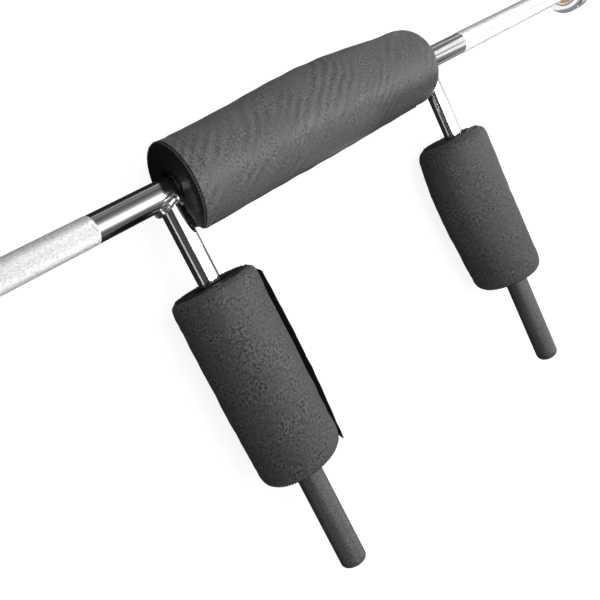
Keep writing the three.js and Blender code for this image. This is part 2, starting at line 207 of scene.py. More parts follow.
def new_group(name: str, kind: str, inputs: dict[str, Union[float, str]], outputs: dict[str, str]
              ) -> tuple[TreeSketch, Sockets, Sockets]:
    """Start a node group.

    Args:
        name: The group's name.
        kind: ShaderNodeTree or GeometryNodeTree.
        inputs: A starting number by input name, or the socket's kind where it has none.
        outputs: Socket kinds by output name.

    Returns:
        The sketch of the group, the sockets that give its inputs and those that take its outputs.
    """
    tree = bpy.data.node_groups.new(name, kind)
    for label, start in inputs.items():
        socket_kind = {int: "Int", float: "Float"}.get(type(start), start)
        made = tree.interface.new_socket(label, in_out="INPUT", socket_type=f"NodeSocket{socket_kind}")
        if socket_kind != start:
            made.default_value = start
    for label, socket_kind in outputs.items():
        tree.interface.new_socket(label, in_out="OUTPUT", socket_type=f"NodeSocket{socket_kind}")
    sketch = TreeSketch(tree)
    return sketch, sketch.node("NodeGroupInput").outputs, sketch.node("NodeGroupOutput").inputs


class SurfaceEffects:
    """Shader groups that several finishes share."""

    def __init__(self) -> None:
        """Build each group once."""
        self.weave = self.build_weave()
        self.flecks = self.build_flecks()
        self.handling = self.build_handling()
        self.mottle = self.build_mottle()

    @staticmethod
    def build_weave() -> Tree:
        """A plain weave of threads that pass over and under each other.

        Returns:
            The group, with a height and a mask of the threads that run along the first axis.
        """
        sketch, given, out = new_group(
            "plain_weave", "ShaderNodeTree", {"Place": "Vector", "Threads": 1000.0, "Waver": 0.2},
            {"Height": "Float", "Warp": "Float"})
        waver = sketch.noise(given["Place"], 90.0, 2.0)
        shift = sketch.product(sketch.math("SUBTRACT", waver, 0.5), given["Waver"])
        parts = sketch.axes(sketch.scaled(given["Place"], given["Threads"]))
        along = sketch.total(parts["X"], sketch.product(shift, 8.0))
        across = sketch.total(parts["Y"], sketch.product(shift, 6.0))
        along_wave = sketch.math("ABSOLUTE", sketch.math("SINE", sketch.product(along, math.pi)))
        across_wave = sketch.math("ABSOLUTE", sketch.math("SINE", sketch.product(across, math.pi)))
        cell = sketch.total(sketch.math("FLOOR", along), sketch.math("FLOOR", across))
        warp = sketch.math("FLOORED_MODULO", cell, 2.0)
        weft = sketch.math("SUBTRACT", 1.0, warp)
        height = sketch.total(sketch.product(along_wave, warp), sketch.product(across_wave, weft))
        sketch.put(out["Height"], sketch.math("POWER", height, 0.6))
        sketch.put(out["Warp"], warp)
        return sketch.tree

    @staticmethod
    def build_flecks() -> Tree:
        """Fine flecks in two sizes over a slow variation, as in heathered cloth and foam.

        Returns:
            The group, with a value about 0.5.
        """
        sketch, given, out = new_group(
            "flecks", "ShaderNodeTree", {"Place": "Vector", "Size": 0.001, "Slow share": 0.3},
            {"Flecks": "Float"})
        rate = sketch.math("DIVIDE", 0.7, given["Size"])
        fine = sketch.remap(sketch.noise(given["Place"], rate, 1.0, 0.6), 0.3, 0.7, 0.0, 1.0)
        slow = sketch.noise(given["Place"], 28.0, 3.0, 0.6)
        share = given["Slow share"]
        kept = sketch.product(fine, sketch.math("SUBTRACT", 1.0, share))
        sketch.put(out["Flecks"], sketch.total(kept, sketch.product(slow, share)))
        return sketch.tree

    @staticmethod
    def build_handling() -> Tree:
        """Smudges with fine hair scratches, from handling.

        Returns:
            The group, with a mask from 0, clean, to 1.
        """
        sketch, given, out = new_group(
            "handling", "ShaderNodeTree", {"Place": "Vector", "Size": 0.03, "Scratches": 0.3},
            {"Mask": "Float"})
        rate = sketch.math("DIVIDE", 1.0, given["Size"])
        smudge = sketch.remap(sketch.noise(given["Place"], rate, 4.0, 0.62), 0.42, 0.72, 0.0, 1.0)
        drawn = sketch.vector("MULTIPLY", given["Place"], (60.0, 900.0, 900.0))
        hairs = sketch.remap(sketch.noise(drawn, 1.0, 2.0, 0.5), 0.66, 0.74, 0.0, 1.0)
        scratches = sketch.product(hairs, given["Scratches"])
        sketch.put(out["Mask"], sketch.math("MAXIMUM", smudge, scratches))
        return sketch.tree

    @staticmethod
    def build_mottle() -> Tree:
        """The uneven tone of stretched cloth: grain in patches, curled fibres and faint wavy bands.

        Returns:
            The group, with a tone about 1.
        """
        sketch, given, out = new_group(
            "cloth_mottle", "ShaderNodeTree",
            {"Place": "Vector", "Grain": 0.2, "Curls": 0.2, "Bands": 0.1, "Slow": 0.1},
            {"Tone": "Float"})
        place = given["Place"]
        patches = sketch.remap(sketch.noise(place, 38.0, 2.0), 0.42, 0.6, 0.35, 1.0)
        grain = sketch.remap(sketch.noise(place, 360.0, 1.0, 0.6), 0.3, 0.7, -1.0, 1.0)
        grain = sketch.product(grain, patches, given["Grain"])
        winding = sketch.math("SUBTRACT", sketch.noise(place, 260.0, 1.0), 0.5)
        curl = sketch.remap(sketch.math("ABSOLUTE", winding), 0.004, 0.026, 1.0, 0.0)
        lightness = sketch.remap(sketch.noise(place, 130.0, 1.0), 0.46, 0.54, -0.8, 1.0)
        sparse = sketch.remap(sketch.noise(place, 55.0, 2.0), 0.5, 0.62, 0.0, 1.0)
        curl = sketch.product(curl, lightness, sparse, given["Curls"])
        wave = sketch.node("ShaderNodeTexWave", {
            "Vector": place, "Scale": 36.0, "Distortion": 9.0, "Detail": 1.0, "Detail Scale": 0.35},
            bands_direction="DIAGONAL")
        banded = sketch.remap(sketch.noise(place, 16.0, 1.0), 0.46, 0.62, 0.0, 1.0)
        bands = sketch.product(sketch.math("SUBTRACT", wave.outputs["Fac"], 0.5), banded, given["Bands"])
        slow = sketch.math("SUBTRACT", sketch.noise(place, 24.0, 3.0, 0.6), 0.5)
        slow = sketch.product(slow, 2.0, given["Slow"])
        sketch.put(out["Tone"], sketch.total(grain, curl, bands, slow, 1.0))
        return sketch.tree


# Finishes


@dataclass(frozen=True)
class Finish:
    """What every finish has: its name and the record's slot that it fills."""

    name: str
    slot: str

    def material(self, effects: SurfaceEffects) -> bpy.types.Material:
        """Make the finish's material.

        Args:
            effects: The shared groups.

        Returns:
            The material.
        """
        made = bpy.data.materials.new(self.name)
        made.use_nodes = True
        sketch = TreeSketch(made.node_tree)
        self.draw(sketch, made.node_tree.nodes["Principled BSDF"], effects)
        return made

    def draw(self, sketch: TreeSketch, shader: Node, effects: SurfaceEffects) -> None:
        """Draw the nodes that feed the shader.

        Args:
            sketch: The material's tree.
            shader: Its Principled shader.
            effects: The shared groups.
        """
        raise NotImplementedError

    @staticmethod
    def bump(sketch: TreeSketch, shader: Node, height: Value, depth: float,
             strength: float = 1.0) -> None:
        """Feed a height to the shader's normal, where 1 stands for a depth in metres."""
        made = sketch.node("ShaderNodeBump", {"Height": height, "Distance": depth, "Strength": strength})
        sketch.put(shader.inputs["Normal"], made.outputs["Normal"])


@dataclass(frozen=True)
class PlatedFinish(Finish):
    """Polished or satin metal with smudges and hair scratches."""

    colour: Colour
    stained: Colour
    roughness: float
    worn_roughness: float
    smudge_size: float = 0.035
    scratches: float = 0.3
    ripple: float = 0.000004
    ripple_size: float = 0.004

    def draw(self, sketch: TreeSketch, shader: Node, effects: SurfaceEffects) -> None:
        """Draw the metal's nodes.

        Args:
            sketch: The material's tree.
            shader: Its Principled shader.
            effects: The shared groups.
        """
        place = sketch.node("ShaderNodeTexCoord").outputs["Object"]
        handled = sketch.node("ShaderNodeGroup", {
            "Place": place, "Size": self.smudge_size, "Scratches": self.scratches},
            node_tree=effects.handling).outputs["Mask"]
        shader.inputs["Metallic"].default_value = 1.0
        sketch.put(shader.inputs["Base Color"], sketch.blend(handled, self.colour, self.stained))
        roughness = sketch.remap(handled, 0.0, 1.0, self.roughness, self.worn_roughness)
        sketch.put(shader.inputs["Roughness"], roughness)
        self.bump(sketch, shader, sketch.noise(place, 1.0 / self.ripple_size, 2.0), self.ripple)


@dataclass(frozen=True)
class KnurledFinish(Finish):
    """Knurled plating whose facets scatter light, with dashes of painted shade, darkest in its grooves.
    """

    colour: Colour
    groove_shade: Colour
    axis_height: float
    root: float
    rise: float
    metallic: float
    roughness: float
    hatch_shade_scale: float = 980.0
    hatch_shade_drawn: float = 0.36

    def draw(self, sketch: TreeSketch, shader: Node, effects: SurfaceEffects) -> None:
        """Draw the knurling's nodes.

        Args:
            sketch: The material's tree.
            shader: Its Principled shader.
            effects: The shared groups.
        """
        place = sketch.node("ShaderNodeTexCoord").outputs["Object"]
        parts = sketch.axes(place)
        height = sketch.math("SUBTRACT", parts["Z"], self.axis_height)
        squared = sketch.total(sketch.product(height, height), sketch.product(parts["Y"], parts["Y"]))
        radius = sketch.math("SQRT", squared)
        depth = sketch.remap(radius, self.root, self.root + 0.7 * self.rise, 1.0, 0.0)
        # Painted shade: dark dashes drawn out along the bar, darkest in the grooves, for the knurl's
        # hatch.
        drawn = sketch.vector("MULTIPLY", place, (self.hatch_shade_drawn, 1.0, 1.0))
        hatch_shade = sketch.remap(sketch.noise(drawn, self.hatch_shade_scale, 2.0, 0.7), 0.46, 0.64, 0.0, 1.0)
        hatch_shade = sketch.product(hatch_shade, sketch.remap(depth, 0.0, 1.0, 0.7, 1.0))
        sketch.put(shader.inputs["Base Color"], sketch.blend(hatch_shade, self.colour, self.groove_shade))
        shader.inputs["Metallic"].default_value = self.metallic
        shader.inputs["Roughness"].default_value = self.roughness


@dataclass(frozen=True)
class WovenFinish(Finish):
    """Stretched woven cloth with a soft gloss. It reads the piece's own UV map."""

    colour: Colour
    threads: float
    thread_depth: float
    grain: float
    curls: float
    bands: float
    slow: float
    roughness: float
    specular: float
    # A patch of painted shade, as its middle and half size in the cloth's coordinates.
    shade_patch: Optional[tuple[Colour, Colour]] = None
    waver: float = 0.25
    sheen: float = 0.1

    def draw(self, sketch: TreeSketch, shader: Node, effects: SurfaceEffects) -> None:
        """Draw the cloth's nodes.

        Args:
            sketch: The material's tree.
            shader: Its Principled shader.
            effects: The shared groups.
        """
        place = sketch.node("ShaderNodeUVMap", uv_map="weave").outputs["UV"]
        woven = sketch.node("ShaderNodeGroup", {
            "Place": place, "Threads": self.threads, "Waver": self.waver}, node_tree=effects.weave)
        tone = sketch.node("ShaderNodeGroup", {
            "Place": place, "Grain": self.grain, "Curls": self.curls, "Bands": self.bands,
            "Slow": self.slow}, node_tree=effects.mottle).outputs["Tone"]
        gaps = sketch.remap(woven.outputs["Height"], 0.0, 0.75, 0.8, 1.0)
        thread_tone = sketch.remap(woven.outputs["Warp"], 0.0, 1.0, 0.97, 1.03)
        tone = sketch.product(tone, gaps, thread_tone)
        # Painted shade: a darker patch of the cloth.
        if self.shade_patch is not None:
            tone = sketch.product(tone, self.shade_patch_tone(sketch, place))
        sketch.put(shader.inputs["Base Color"], sketch.scaled(self.colour, tone))
        shader.inputs["Roughness"].default_value = self.roughness
        shader.inputs["Specular IOR Level"].default_value = self.specular
        shader.inputs["Sheen Weight"].default_value = self.sheen
        shader.inputs["Sheen Roughness"].default_value = 0.55
        self.bump(sketch, shader, woven.outputs["Height"], self.thread_depth, 0.8)

    def shade_patch_tone(self, sketch: TreeSketch, place: Socket) -> Socket:
        """The tone of a patch of painted shade, darker inside it, and 1 outside it.

        Args:
            sketch: The material's tree.
            place: The cloth's own coordinates.

        Returns:
            The tone's socket.
        """
        middle, half = self.shade_patch
        uneven = sketch.math("SUBTRACT", sketch.noise(place, 30.0, 2.0), 0.5)
        away = sketch.vector("ABSOLUTE", sketch.vector("SUBTRACT", place, middle))
        parts = sketch.axes(sketch.vector("DIVIDE", away, half))
        far = sketch.total(sketch.math("MAXIMUM", parts["X"], parts["Y"]), sketch.product(uneven, 0.6))
        return sketch.remap(far, 0.75, 1.2, 0.55, 1.0)


@dataclass(frozen=True)
class NappedFinish(Finish):
    """Matt cloth tape, foam or rubber with a fine nap or pores."""

    colour: Colour
    light: Colour
    fleck_size: float
    depth: float
    roughness: float = 0.95
    specular: float = 0.2
    sheen: float = 0.0
    slow_share: float = 0.2

    def draw(self, sketch: TreeSketch, shader: Node, effects: SurfaceEffects) -> None:
        """Draw the surface's nodes.

        Args:
            sketch: The material's tree.
            shader: Its Principled shader.
            effects: The shared groups.
        """
        place = sketch.node("ShaderNodeTexCoord").outputs["Object"]
        flecks = sketch.node("ShaderNodeGroup", {
            "Place": place, "Size": self.fleck_size, "Slow share": self.slow_share},
            node_tree=effects.flecks).outputs["Flecks"]
        shade = sketch.blend(sketch.remap(flecks, 0.35, 0.85, 0.0, 1.0), self.colour, self.light)
        sketch.put(shader.inputs["Base Color"], shade)
        shader.inputs["Specular IOR Level"].default_value = self.specular
        shader.inputs["Sheen Weight"].default_value = self.sheen
        sketch.put(shader.inputs["Roughness"],
                   sketch.remap(flecks, 0.0, 1.0, self.roughness, self.roughness - 0.12))
        self.bump(sketch, shader, flecks, self.depth)


CHROME = PlatedFinish("chrome_plate", "chrome", (0.86, 0.86, 0.86), (0.76, 0.76, 0.76), 0.09, 0.17,
                      ripple=0.00003, ripple_size=0.012)
# The knurl's second colour is painted shade, for the dark dashes of its hatch.
KNURLED = KnurledFinish("chrome_knurl", "chrome", (0.98, 0.98, 0.98), (0.6, 0.6, 0.6),
                        AXIS_HEIGHT * MM, root=0.01496, rise=0.00042, metallic=0.65, roughness=0.5)
# The weld is rougher than the plate, and its colour is darker as painted shade, to dim the bead's
# highlights.
WELD_METAL_SHADED = PlatedFinish("weld_chrome", "chrome", (0.75, 0.75, 0.75), (0.45, 0.45, 0.45), 0.26, 0.42,
                          smudge_size=0.006, ripple=0.00003, ripple_size=0.0012)
BRONZE = PlatedFinish("bearing_bronze", "bronze", (0.58, 0.41, 0.2), (0.36, 0.25, 0.13), 0.28, 0.45,
                      ripple=0.00001)
SPRING = PlatedFinish("spring_steel", "spring_steel", (0.42, 0.43, 0.45), (0.28, 0.27, 0.26), 0.32, 0.5,
                      ripple=0.00001)
COVER_CLOTH = WovenFinish("cover_cloth", "cover_fabric", (0.135, 0.135, 0.135), 1050.0, 0.00026,
                          grain=0.9, curls=0.7, bands=0.12, slow=0.2, roughness=0.42, specular=0.17)
# Painted light: the cover cloth made lighter on the neck pad, which is lit more, with a patch of painted
# shade towards its far end.
NECK_CLOTH_PAINTED_LIGHT = WovenFinish("neck_cloth_painted_light", "cover_fabric", (0.182, 0.182, 0.182), 1050.0, 0.00026,
                         grain=0.6, curls=0.7, bands=0.5, slow=0.25, roughness=0.42, specular=0.24,
                         shade_patch=((0.287, 0.41, 0.0), (0.029, 0.09, 1.0)))
PANEL_CLOTH = NappedFinish("panel_cloth", "cover_fabric", (0.006, 0.006, 0.006), (0.018, 0.018, 0.018),
                           0.0016, 0.0003, roughness=0.55, specular=0.16, sheen=0.05)
SEAM_THREAD = NappedFinish("seam_thread", "cover_fabric", (0.1, 0.1, 0.1), (0.34, 0.34, 0.34),
                           0.0004, 0.00008)
BINDING = NappedFinish("rim_binding", "cover_fabric", (0.012, 0.012, 0.012), (0.04, 0.04, 0.04),
                       0.0006, 0.00012)
TAPE = NappedFinish("closure_tape", "closure_tape", (0.004, 0.004, 0.004), (0.014, 0.014, 0.014),
                    0.0007, 0.00025, sheen=0.08)
PAD_FOAM = NappedFinish("pad_foam", "pad_foam", (0.06, 0.06, 0.06), (0.26, 0.26, 0.26),
                        0.0013, 0.0004)
GRIP_FOAM = NappedFinish("grip_foam", "grip_foam", (0.1, 0.1, 0.1), (0.24, 0.24, 0.24),
                         0.0011, 0.00025, roughness=0.42, specular=0.5, slow_share=0.3)
CAP_PLASTIC = NappedFinish("cap_plastic", "cap_plastic", (0.012, 0.012, 0.0125), (0.022, 0.022, 0.023),
                           0.0005, 0.00004, roughness=0.55, specular=0.45)
ALL_FINISHES = (CHROME, KNURLED, WELD_METAL_SHADED, BRONZE, SPRING, COVER_CLOTH, NECK_CLOTH_PAINTED_LIGHT, PANEL_CLOTH,
                SEAM_THREAD, BINDING, TAPE, PAD_FOAM, GRIP_FOAM, CAP_PLASTIC)


# Workshop: how pieces are made, dressed and handed to the frame


def new_object(name: str, data: bpy.types.ID) -> Piece:
    """Put a new object in the scene.

    Args:
        name: Its name.
        data: Its mesh, camera or lamp.

    Returns:
        The object.
    """
    made = bpy.data.objects.new(name, data)
    bpy.context.scene.collection.objects.link(made)
    return made


@dataclass
class Workshop:
    """Makes objects from points and faces, dresses them and puts them on their bodies."""

    effects: SurfaceEffects = field(default_factory=SurfaceEffects)
    materials: dict[Finish, bpy.types.Material] = field(default_factory=dict)

    def __post_init__(self) -> None:
        """Make each finish's material once."""
        self.materials = {finish: finish.material(self.effects) for finish in ALL_FINISHES}

    @staticmethod
    def placement(x: float = 0.0, turn: float = 0.0) -> Matrix:
        """Where a piece that is drawn in millimetres along +X goes.

        Args:
            x: Where on the bar's axis the piece's own origin is, in millimetres.
            turn: How far it turns about the vertical, in radians.

        Returns:
            The matrix from the piece's millimetres to the frame's metres.
        """
        origin = Matrix.Translation((x * MM, 0, AXIS_HEIGHT * MM))
        return origin @ Matrix.Rotation(turn, 4, "Z") @ Matrix.Scale(MM, 4)

    @staticmethod
    def placed(points: np.ndarray, place: Matrix) -> np.ndarray:
        """Move points, one row each, as a matrix says."""
        return points @ np.array(place.to_3x3()).T + np.array(place.translation)

    @staticmethod
    def corners(data: bpy.types.Mesh) -> np.ndarray:
        """Read a mesh's corners.

        Args:
            data: The mesh.

        Returns:
            The corners, one row each.
        """
        found = np.zeros(len(data.vertices) * 3)
        data.vertices.foreach_get("co", found)
        return found.reshape(-1, 3)

    @staticmethod
    def mesh(name: str, points: np.ndarray, faces: Sequence[Sequence[int]], place: Matrix,
             crease: Optional[float] = 32.0) -> Piece:
        """Make a mesh object, smooth except at its creases.

        Args:
            name: The object's name.
            points: Corners in the piece's millimetres, one row each.
            faces: Corner numbers of each face.
            place: The matrix to the frame.
            crease: Degrees from which an edge stays sharp, or None where all are smooth.

        Returns:
            The object.
        """
        placed = Workshop.placed(np.asarray(points, float).reshape(-1, 3), place)
        data = bpy.data.meshes.new(name)
        data.from_pydata(placed.tolist(), [], [list(face) for face in faces])
        data.polygons.foreach_set("use_smooth", [True] * len(data.polygons))
        if crease is not None:
            data.set_sharp_from_angle(angle=math.radians(crease))
        data.update()
        return new_object(name, data)

    def turned(self, name: str, outline: Outline, place: Matrix,
               sides: int = ROUND_SIDES) -> Piece:
        """Revolve an outline about the piece's X axis.

        Args:
            name: The object's name.
            outline: Points as (distance, radius), the solid on their right hand when it goes
                from low to high distances. It starts and ends on the axis, or closes on itself.
            place: The matrix to the frame.
            sides: Number of facets round the axis.

        Returns:
            The object.
        """
        closed = outline[0][1] > 0
        rows = len(outline)
        around = np.arange(sides) * FULL_TURN / sides
        points, starts = [], []
        for distance, radius in outline:
            starts.append(len(points))
            if radius > 0:
                points += [(distance, radius * math.cos(a), radius * math.sin(a)) for a in around]
            else:
                points.append((distance, 0.0, 0.0))
        faces = []
        for row in range(rows if closed else rows - 1):
            low, high = starts[row], starts[(row + 1) % rows]
            low_pole = outline[row][1] == 0
            high_pole = outline[(row + 1) % rows][1] == 0
            for k in range(sides):
                n = (k + 1) % sides
                if low_pole:
                    faces.append((low, high + n, high + k))
                elif high_pole:
                    faces.append((low + k, low + n, high))
                else:
                    faces.append((low + k, low + n, high + n, high + k))
        return self.mesh(name, np.array(points), faces, place)

    @staticmethod
    def baked(piece: Piece, name: Optional[str] = None) -> Piece:
        """Turn a piece with modifiers into a plain mesh.

        Args:
            piece: The object, which is removed.
            name: The new object's name, or None to keep it.

        Returns:
            The plain object.
        """
        name = name or piece.name
        depsgraph = bpy.context.evaluated_depsgraph_get()
        depsgraph.update()
        data = bpy.data.meshes.new_from_object(piece.evaluated_get(depsgraph), depsgraph=depsgraph)
        bpy.data.objects.remove(piece)
        data.name = name
        return new_object(name, data)

    def grow(self, name: str, tree: Tree, values: dict[str, Value], finish: Finish, node: str,
             path: Optional[np.ndarray] = None, closed: bool = False) -> None:
        """Run a geometry tree once, keep its result as a plain mesh and put it on the bar's body.

        Args:
            name: The object's name.
            tree: The geometry node tree.
            values: Its inputs by name.
            finish: The finish, handed to the tree's Material input.
            node: The CAD node that it replaces.
            path: Points in metres of the line that the tree follows, if it follows one.
            closed: Whether the path closes on itself.
        """
        data = bpy.data.meshes.new(name)
        if path is not None:
            count = len(path)
            edges = [(i, (i + 1) % count) for i in range(count if closed else count - 1)]
            data.from_pydata(np.asarray(path, float).tolist(), edges, [])
        host = new_object(name + "_host", data)
        modifier = host.modifiers.new("grow", "NODES")
        modifier.node_group = tree
        given = {**values, "Material": self.materials[finish]}
        for item in tree.interface.items_tree:
            if item.item_type == "SOCKET" and item.in_out == "INPUT" and item.name in given:
                modifier[item.identifier] = given[item.name]
        made = self.baked(host, name)
        made.data.materials.clear()
        self.hand_over(made, finish, "bar", node)

    def hand_over(self, piece: Piece, finish: Finish, body: str, *nodes: str) -> None:
        """Dress a finished piece, put it on its body and let it stand for CAD nodes.

        Args:
            piece: The finished object.
            finish: Its finish.
            body: The CAD body that it rides on.
            *nodes: The CAD nodes that it replaces.
        """
        if not piece.data.materials:
            piece.data.materials.append(self.materials[finish])
        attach(piece, body)
        if nodes:
            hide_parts(*nodes)
        log.info("%s: %d faces on %s", piece.name, len(piece.data.polygons), body)

    def dress_node(self, node: str, finish: Finish) -> None:
        """Give a CAD node that stays its finish.

        Args:
            node: The node's name.
            finish: Its finish.
        """
        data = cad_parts[node].data
        data.materials.clear()
        data.materials.append(self.materials[finish])
        log.info("%s: dressed", node)


def broken_edges(outline: Outline, size: float, steps: int = 3) -> Outline:
    """Round every corner of an outline a little, so that it catches the light.

    Args:
        outline: Points as (distance, radius).
        size: The length taken off each side of a corner, in millimetres.
        steps: Number of facets in each rounding.

    Returns:
        The softened outline.
    """
    closed = outline[0][1] > 0
    count = len(outline)
    softened = []
    for i, here in enumerate(outline):
        if not closed and i in (0, count - 1):
            softened.append(here)
            continue
        corner = np.array(here)
        before, after = np.array(outline[i - 1]), np.array(outline[(i + 1) % count])
        back, on = before - corner, after - corner
        reach = min(size, np.linalg.norm(back) * 0.4, np.linalg.norm(on) * 0.4)
        start = corner + back / np.linalg.norm(back) * reach
        end = corner + on / np.linalg.norm(on) * reach
        for k in range(steps + 1):
            t = k / steps
            point = (1 - t) ** 2 * start + 2 * t * (1 - t) * corner + t ** 2 * end
            softened.append((float(point[0]), float(point[1])))
    return softened


def skin_sections(sections: np.ndarray) -> tuple[np.ndarray, list[tuple[int, ...]]]:
    """Join closed sections of points into one closed body.

    Each section goes out along one face and back along the other, so that corner k faces
    corner count - 1 - k across its thickness, and the ends close with strips.

    Args:
        sections: Points by section and corner.

    Returns:
        The points and the faces.
    """
    rows, count = sections.shape[:2]
    faces = []
    for i in range(rows - 1):
        for k in range(count):
            n = (k + 1) % count
            faces.append((i * count + k, (i + 1) * count + k, (i + 1) * count + n, i * count + n))
    last = (rows - 1) * count
    for k in range(count // 2 - 1):
        a, b, c, d = k, k + 1, count - 2 - k, count - 1 - k
        faces.append((a, b, c, d))
        faces.append((last + d, last + c, last + b, last + a))
    return sections.reshape(-1, 3), faces


# Geometry trees


class GrowthTrees:
    """Geometry node trees for what repeats or follows a path."""

    def __init__(self) -> None:
        """Build each tree once."""
        self.knurl = self.build_knurl()
        self.cord = self.build_cord()
        self.stitches = self.build_stitches()
        self.weld = self.build_weld()

    @staticmethod
    def begin(name: str, inputs: dict[str, Union[float, str]]) -> tuple[TreeSketch, Sockets, Sockets]:
        """Start a tree that takes a geometry and a material, with what `new_group` returns."""
        taken = {"Geometry": "Geometry", **inputs, "Material": "Material"}
        return new_group(name, "GeometryNodeTree", taken, {"Geometry": "Geometry"})

    @staticmethod
    def beads(sketch: TreeSketch, spots: Value, sides: tuple[int, int], across: Value, along: Value,
              heading: Value, scale: Value = (1.0, 1.0, 1.0)) -> Socket:
        """Set a ball on every spot, drawn out or pressed flat along a heading.

        Args:
            sketch: The tree.
            spots: Where the balls go.
            sides: A ball's segments and rings.
            across: Its radius across the heading.
            along: Its radius along the heading.
            heading: The heading at each spot.
            scale: What each ball's size is multiplied by.

        Returns:
            The balls.
        """
        ball = sketch.node("GeometryNodeMeshUVSphere", {
            "Segments": sides[0], "Rings": sides[1], "Radius": 1.0}).outputs["Mesh"]
        size = sketch.node("ShaderNodeCombineXYZ", {"X": across, "Y": across, "Z": along}).outputs[0]
        bead = sketch.node("GeometryNodeTransform", {"Geometry": ball, "Scale": size}).outputs[0]
        turn = sketch.node("FunctionNodeAlignRotationToVector", {"Vector": heading}, axis="Z").outputs[0]
        return sketch.node("GeometryNodeInstanceOnPoints", {
            "Points": spots, "Instance": bead, "Rotation": turn, "Scale": scale}).outputs[0]

    @staticmethod
    def finish_tree(sketch: TreeSketch, out: Sockets, geometry: Value, material: Value,
                    smooth: bool) -> Tree:
        """End a tree in Realize Instances and Set Material.

        Args:
            sketch: The tree.
            out: The sockets that take its outputs.
            geometry: The geometry so far.
            material: The Material input.
            smooth: Whether faces are shaded smooth.

        Returns:
            The finished tree.
        """
        real = sketch.node("GeometryNodeRealizeInstances", {"Geometry": geometry}).outputs[0]
        shaded = sketch.node("GeometryNodeSetShadeSmooth", {"Geometry": real, "Shade Smooth": smooth})
        dressed = sketch.node("GeometryNodeSetMaterial", {"Geometry": shaded.outputs[0]})
        sketch.put(dressed.inputs["Material"], material)
        sketch.put(out["Geometry"], dressed.outputs[0])
        return sketch.tree

    @classmethod
    def build_knurl(cls) -> Tree:
        """A closed band of diamond knurling about an axis along X.

        Returns:
            The tree.
        """
        sketch, given, out = cls.begin("diamond_knurl", {
            "Around": 60, "Along": 180, "Length": 0.3, "Root Radius": 0.015, "Rise": 0.0004,
            "Middle": "Vector"})
        columns = sketch.product(given["Around"], 2.0)
        rows = sketch.product(given["Along"], 2.0)
        drum = sketch.node("GeometryNodeMeshCylinder", {
            "Vertices": columns, "Side Segments": rows, "Radius": given["Root Radius"],
            "Depth": given["Length"]}, fill_type="NGON")
        place = sketch.node("GeometryNodeInputPosition").outputs[0]
        parts = sketch.axes(place)
        turn = sketch.math("ARCTAN2", parts["Y"], parts["X"])
        column = sketch.math("ROUND", sketch.product(sketch.math("DIVIDE", turn, FULL_TURN), columns))
        share = sketch.total(sketch.math("DIVIDE", parts["Z"], given["Length"]), 0.5)
        row = sketch.math("ROUND", sketch.product(share, rows))
        peak = sketch.math("FLOORED_MODULO", sketch.total(column, row), 2.0)
        past_start = sketch.math("GREATER_THAN", row, 0.5)
        before_end = sketch.math("LESS_THAN", row, sketch.math("SUBTRACT", rows, 0.5))
        lift = sketch.product(past_start, before_end, peak, given["Rise"])
        outward = sketch.vector("NORMALIZE", sketch.vector("MULTIPLY", place, (1.0, 1.0, 0.0)))
        raised = sketch.node("GeometryNodeSetPosition", {
            "Geometry": drum.outputs["Mesh"], "Offset": sketch.scaled(outward, lift)})
        split = sketch.node("GeometryNodeTriangulate", {"Mesh": raised.outputs[0]},
                            quad_method="SHORTEST_DIAGONAL", ngon_method="BEAUTY")
        laid = sketch.node("GeometryNodeTransform", {
            "Geometry": split.outputs[0], "Rotation": (0.0, math.pi / 2, 0.0),
            "Translation": given["Middle"]})
        return cls.finish_tree(sketch, out, laid.outputs[0], given["Material"], False)

    @classmethod
    def build_cord(cls) -> Tree:
        """A round binding cord along a path.

        Returns:
            The tree.
        """
        sketch, given, out = cls.begin("binding_cord", {"Radius": 0.001, "Sides": 8})
        line = sketch.node("GeometryNodeMeshToCurve", {"Mesh": given["Geometry"]}).outputs[0]
        section = sketch.node("GeometryNodeCurvePrimitiveCircle", {
            "Resolution": given["Sides"], "Radius": given["Radius"]})
        tube = sketch.node("GeometryNodeCurveToMesh", {
            "Curve": line, "Profile Curve": section.outputs[0], "Fill Caps": True})
        return cls.finish_tree(sketch, out, tube.outputs[0], given["Material"], True)

    @classmethod
    def build_stitches(cls) -> Tree:
        """A row of stitches along a path.

        Returns:
            The tree.
        """
        sketch, given, out = cls.begin("stitch_row", {
            "Spacing": 0.004, "Length": 0.003, "Thread": 0.0004, "Waver": 0.12, "Seed": 7})
        line = sketch.node("GeometryNodeMeshToCurve", {"Mesh": given["Geometry"]}).outputs[0]
        spots = sketch.node("GeometryNodeResampleCurve", {"Curve": line, "Length": given["Spacing"]},
                            mode="LENGTH").outputs[0]
        drift = sketch.node("FunctionNodeRandomValue", {
            "Min": -1.0, "Max": 1.0, "Seed": given["Seed"]}, data_type="FLOAT").outputs["Value"]
        tangent = sketch.node("GeometryNodeInputTangent").outputs[0]
        side = sketch.vector("CROSS_PRODUCT", tangent, (0.3, 0.2, 0.93))
        lean = sketch.scaled(side, sketch.product(drift, given["Waver"]))
        row = cls.beads(sketch, spots, (6, 4), given["Thread"], sketch.product(given["Length"], 0.5),
                        sketch.vector("ADD", tangent, lean))
        return cls.finish_tree(sketch, out, row, given["Material"], True)

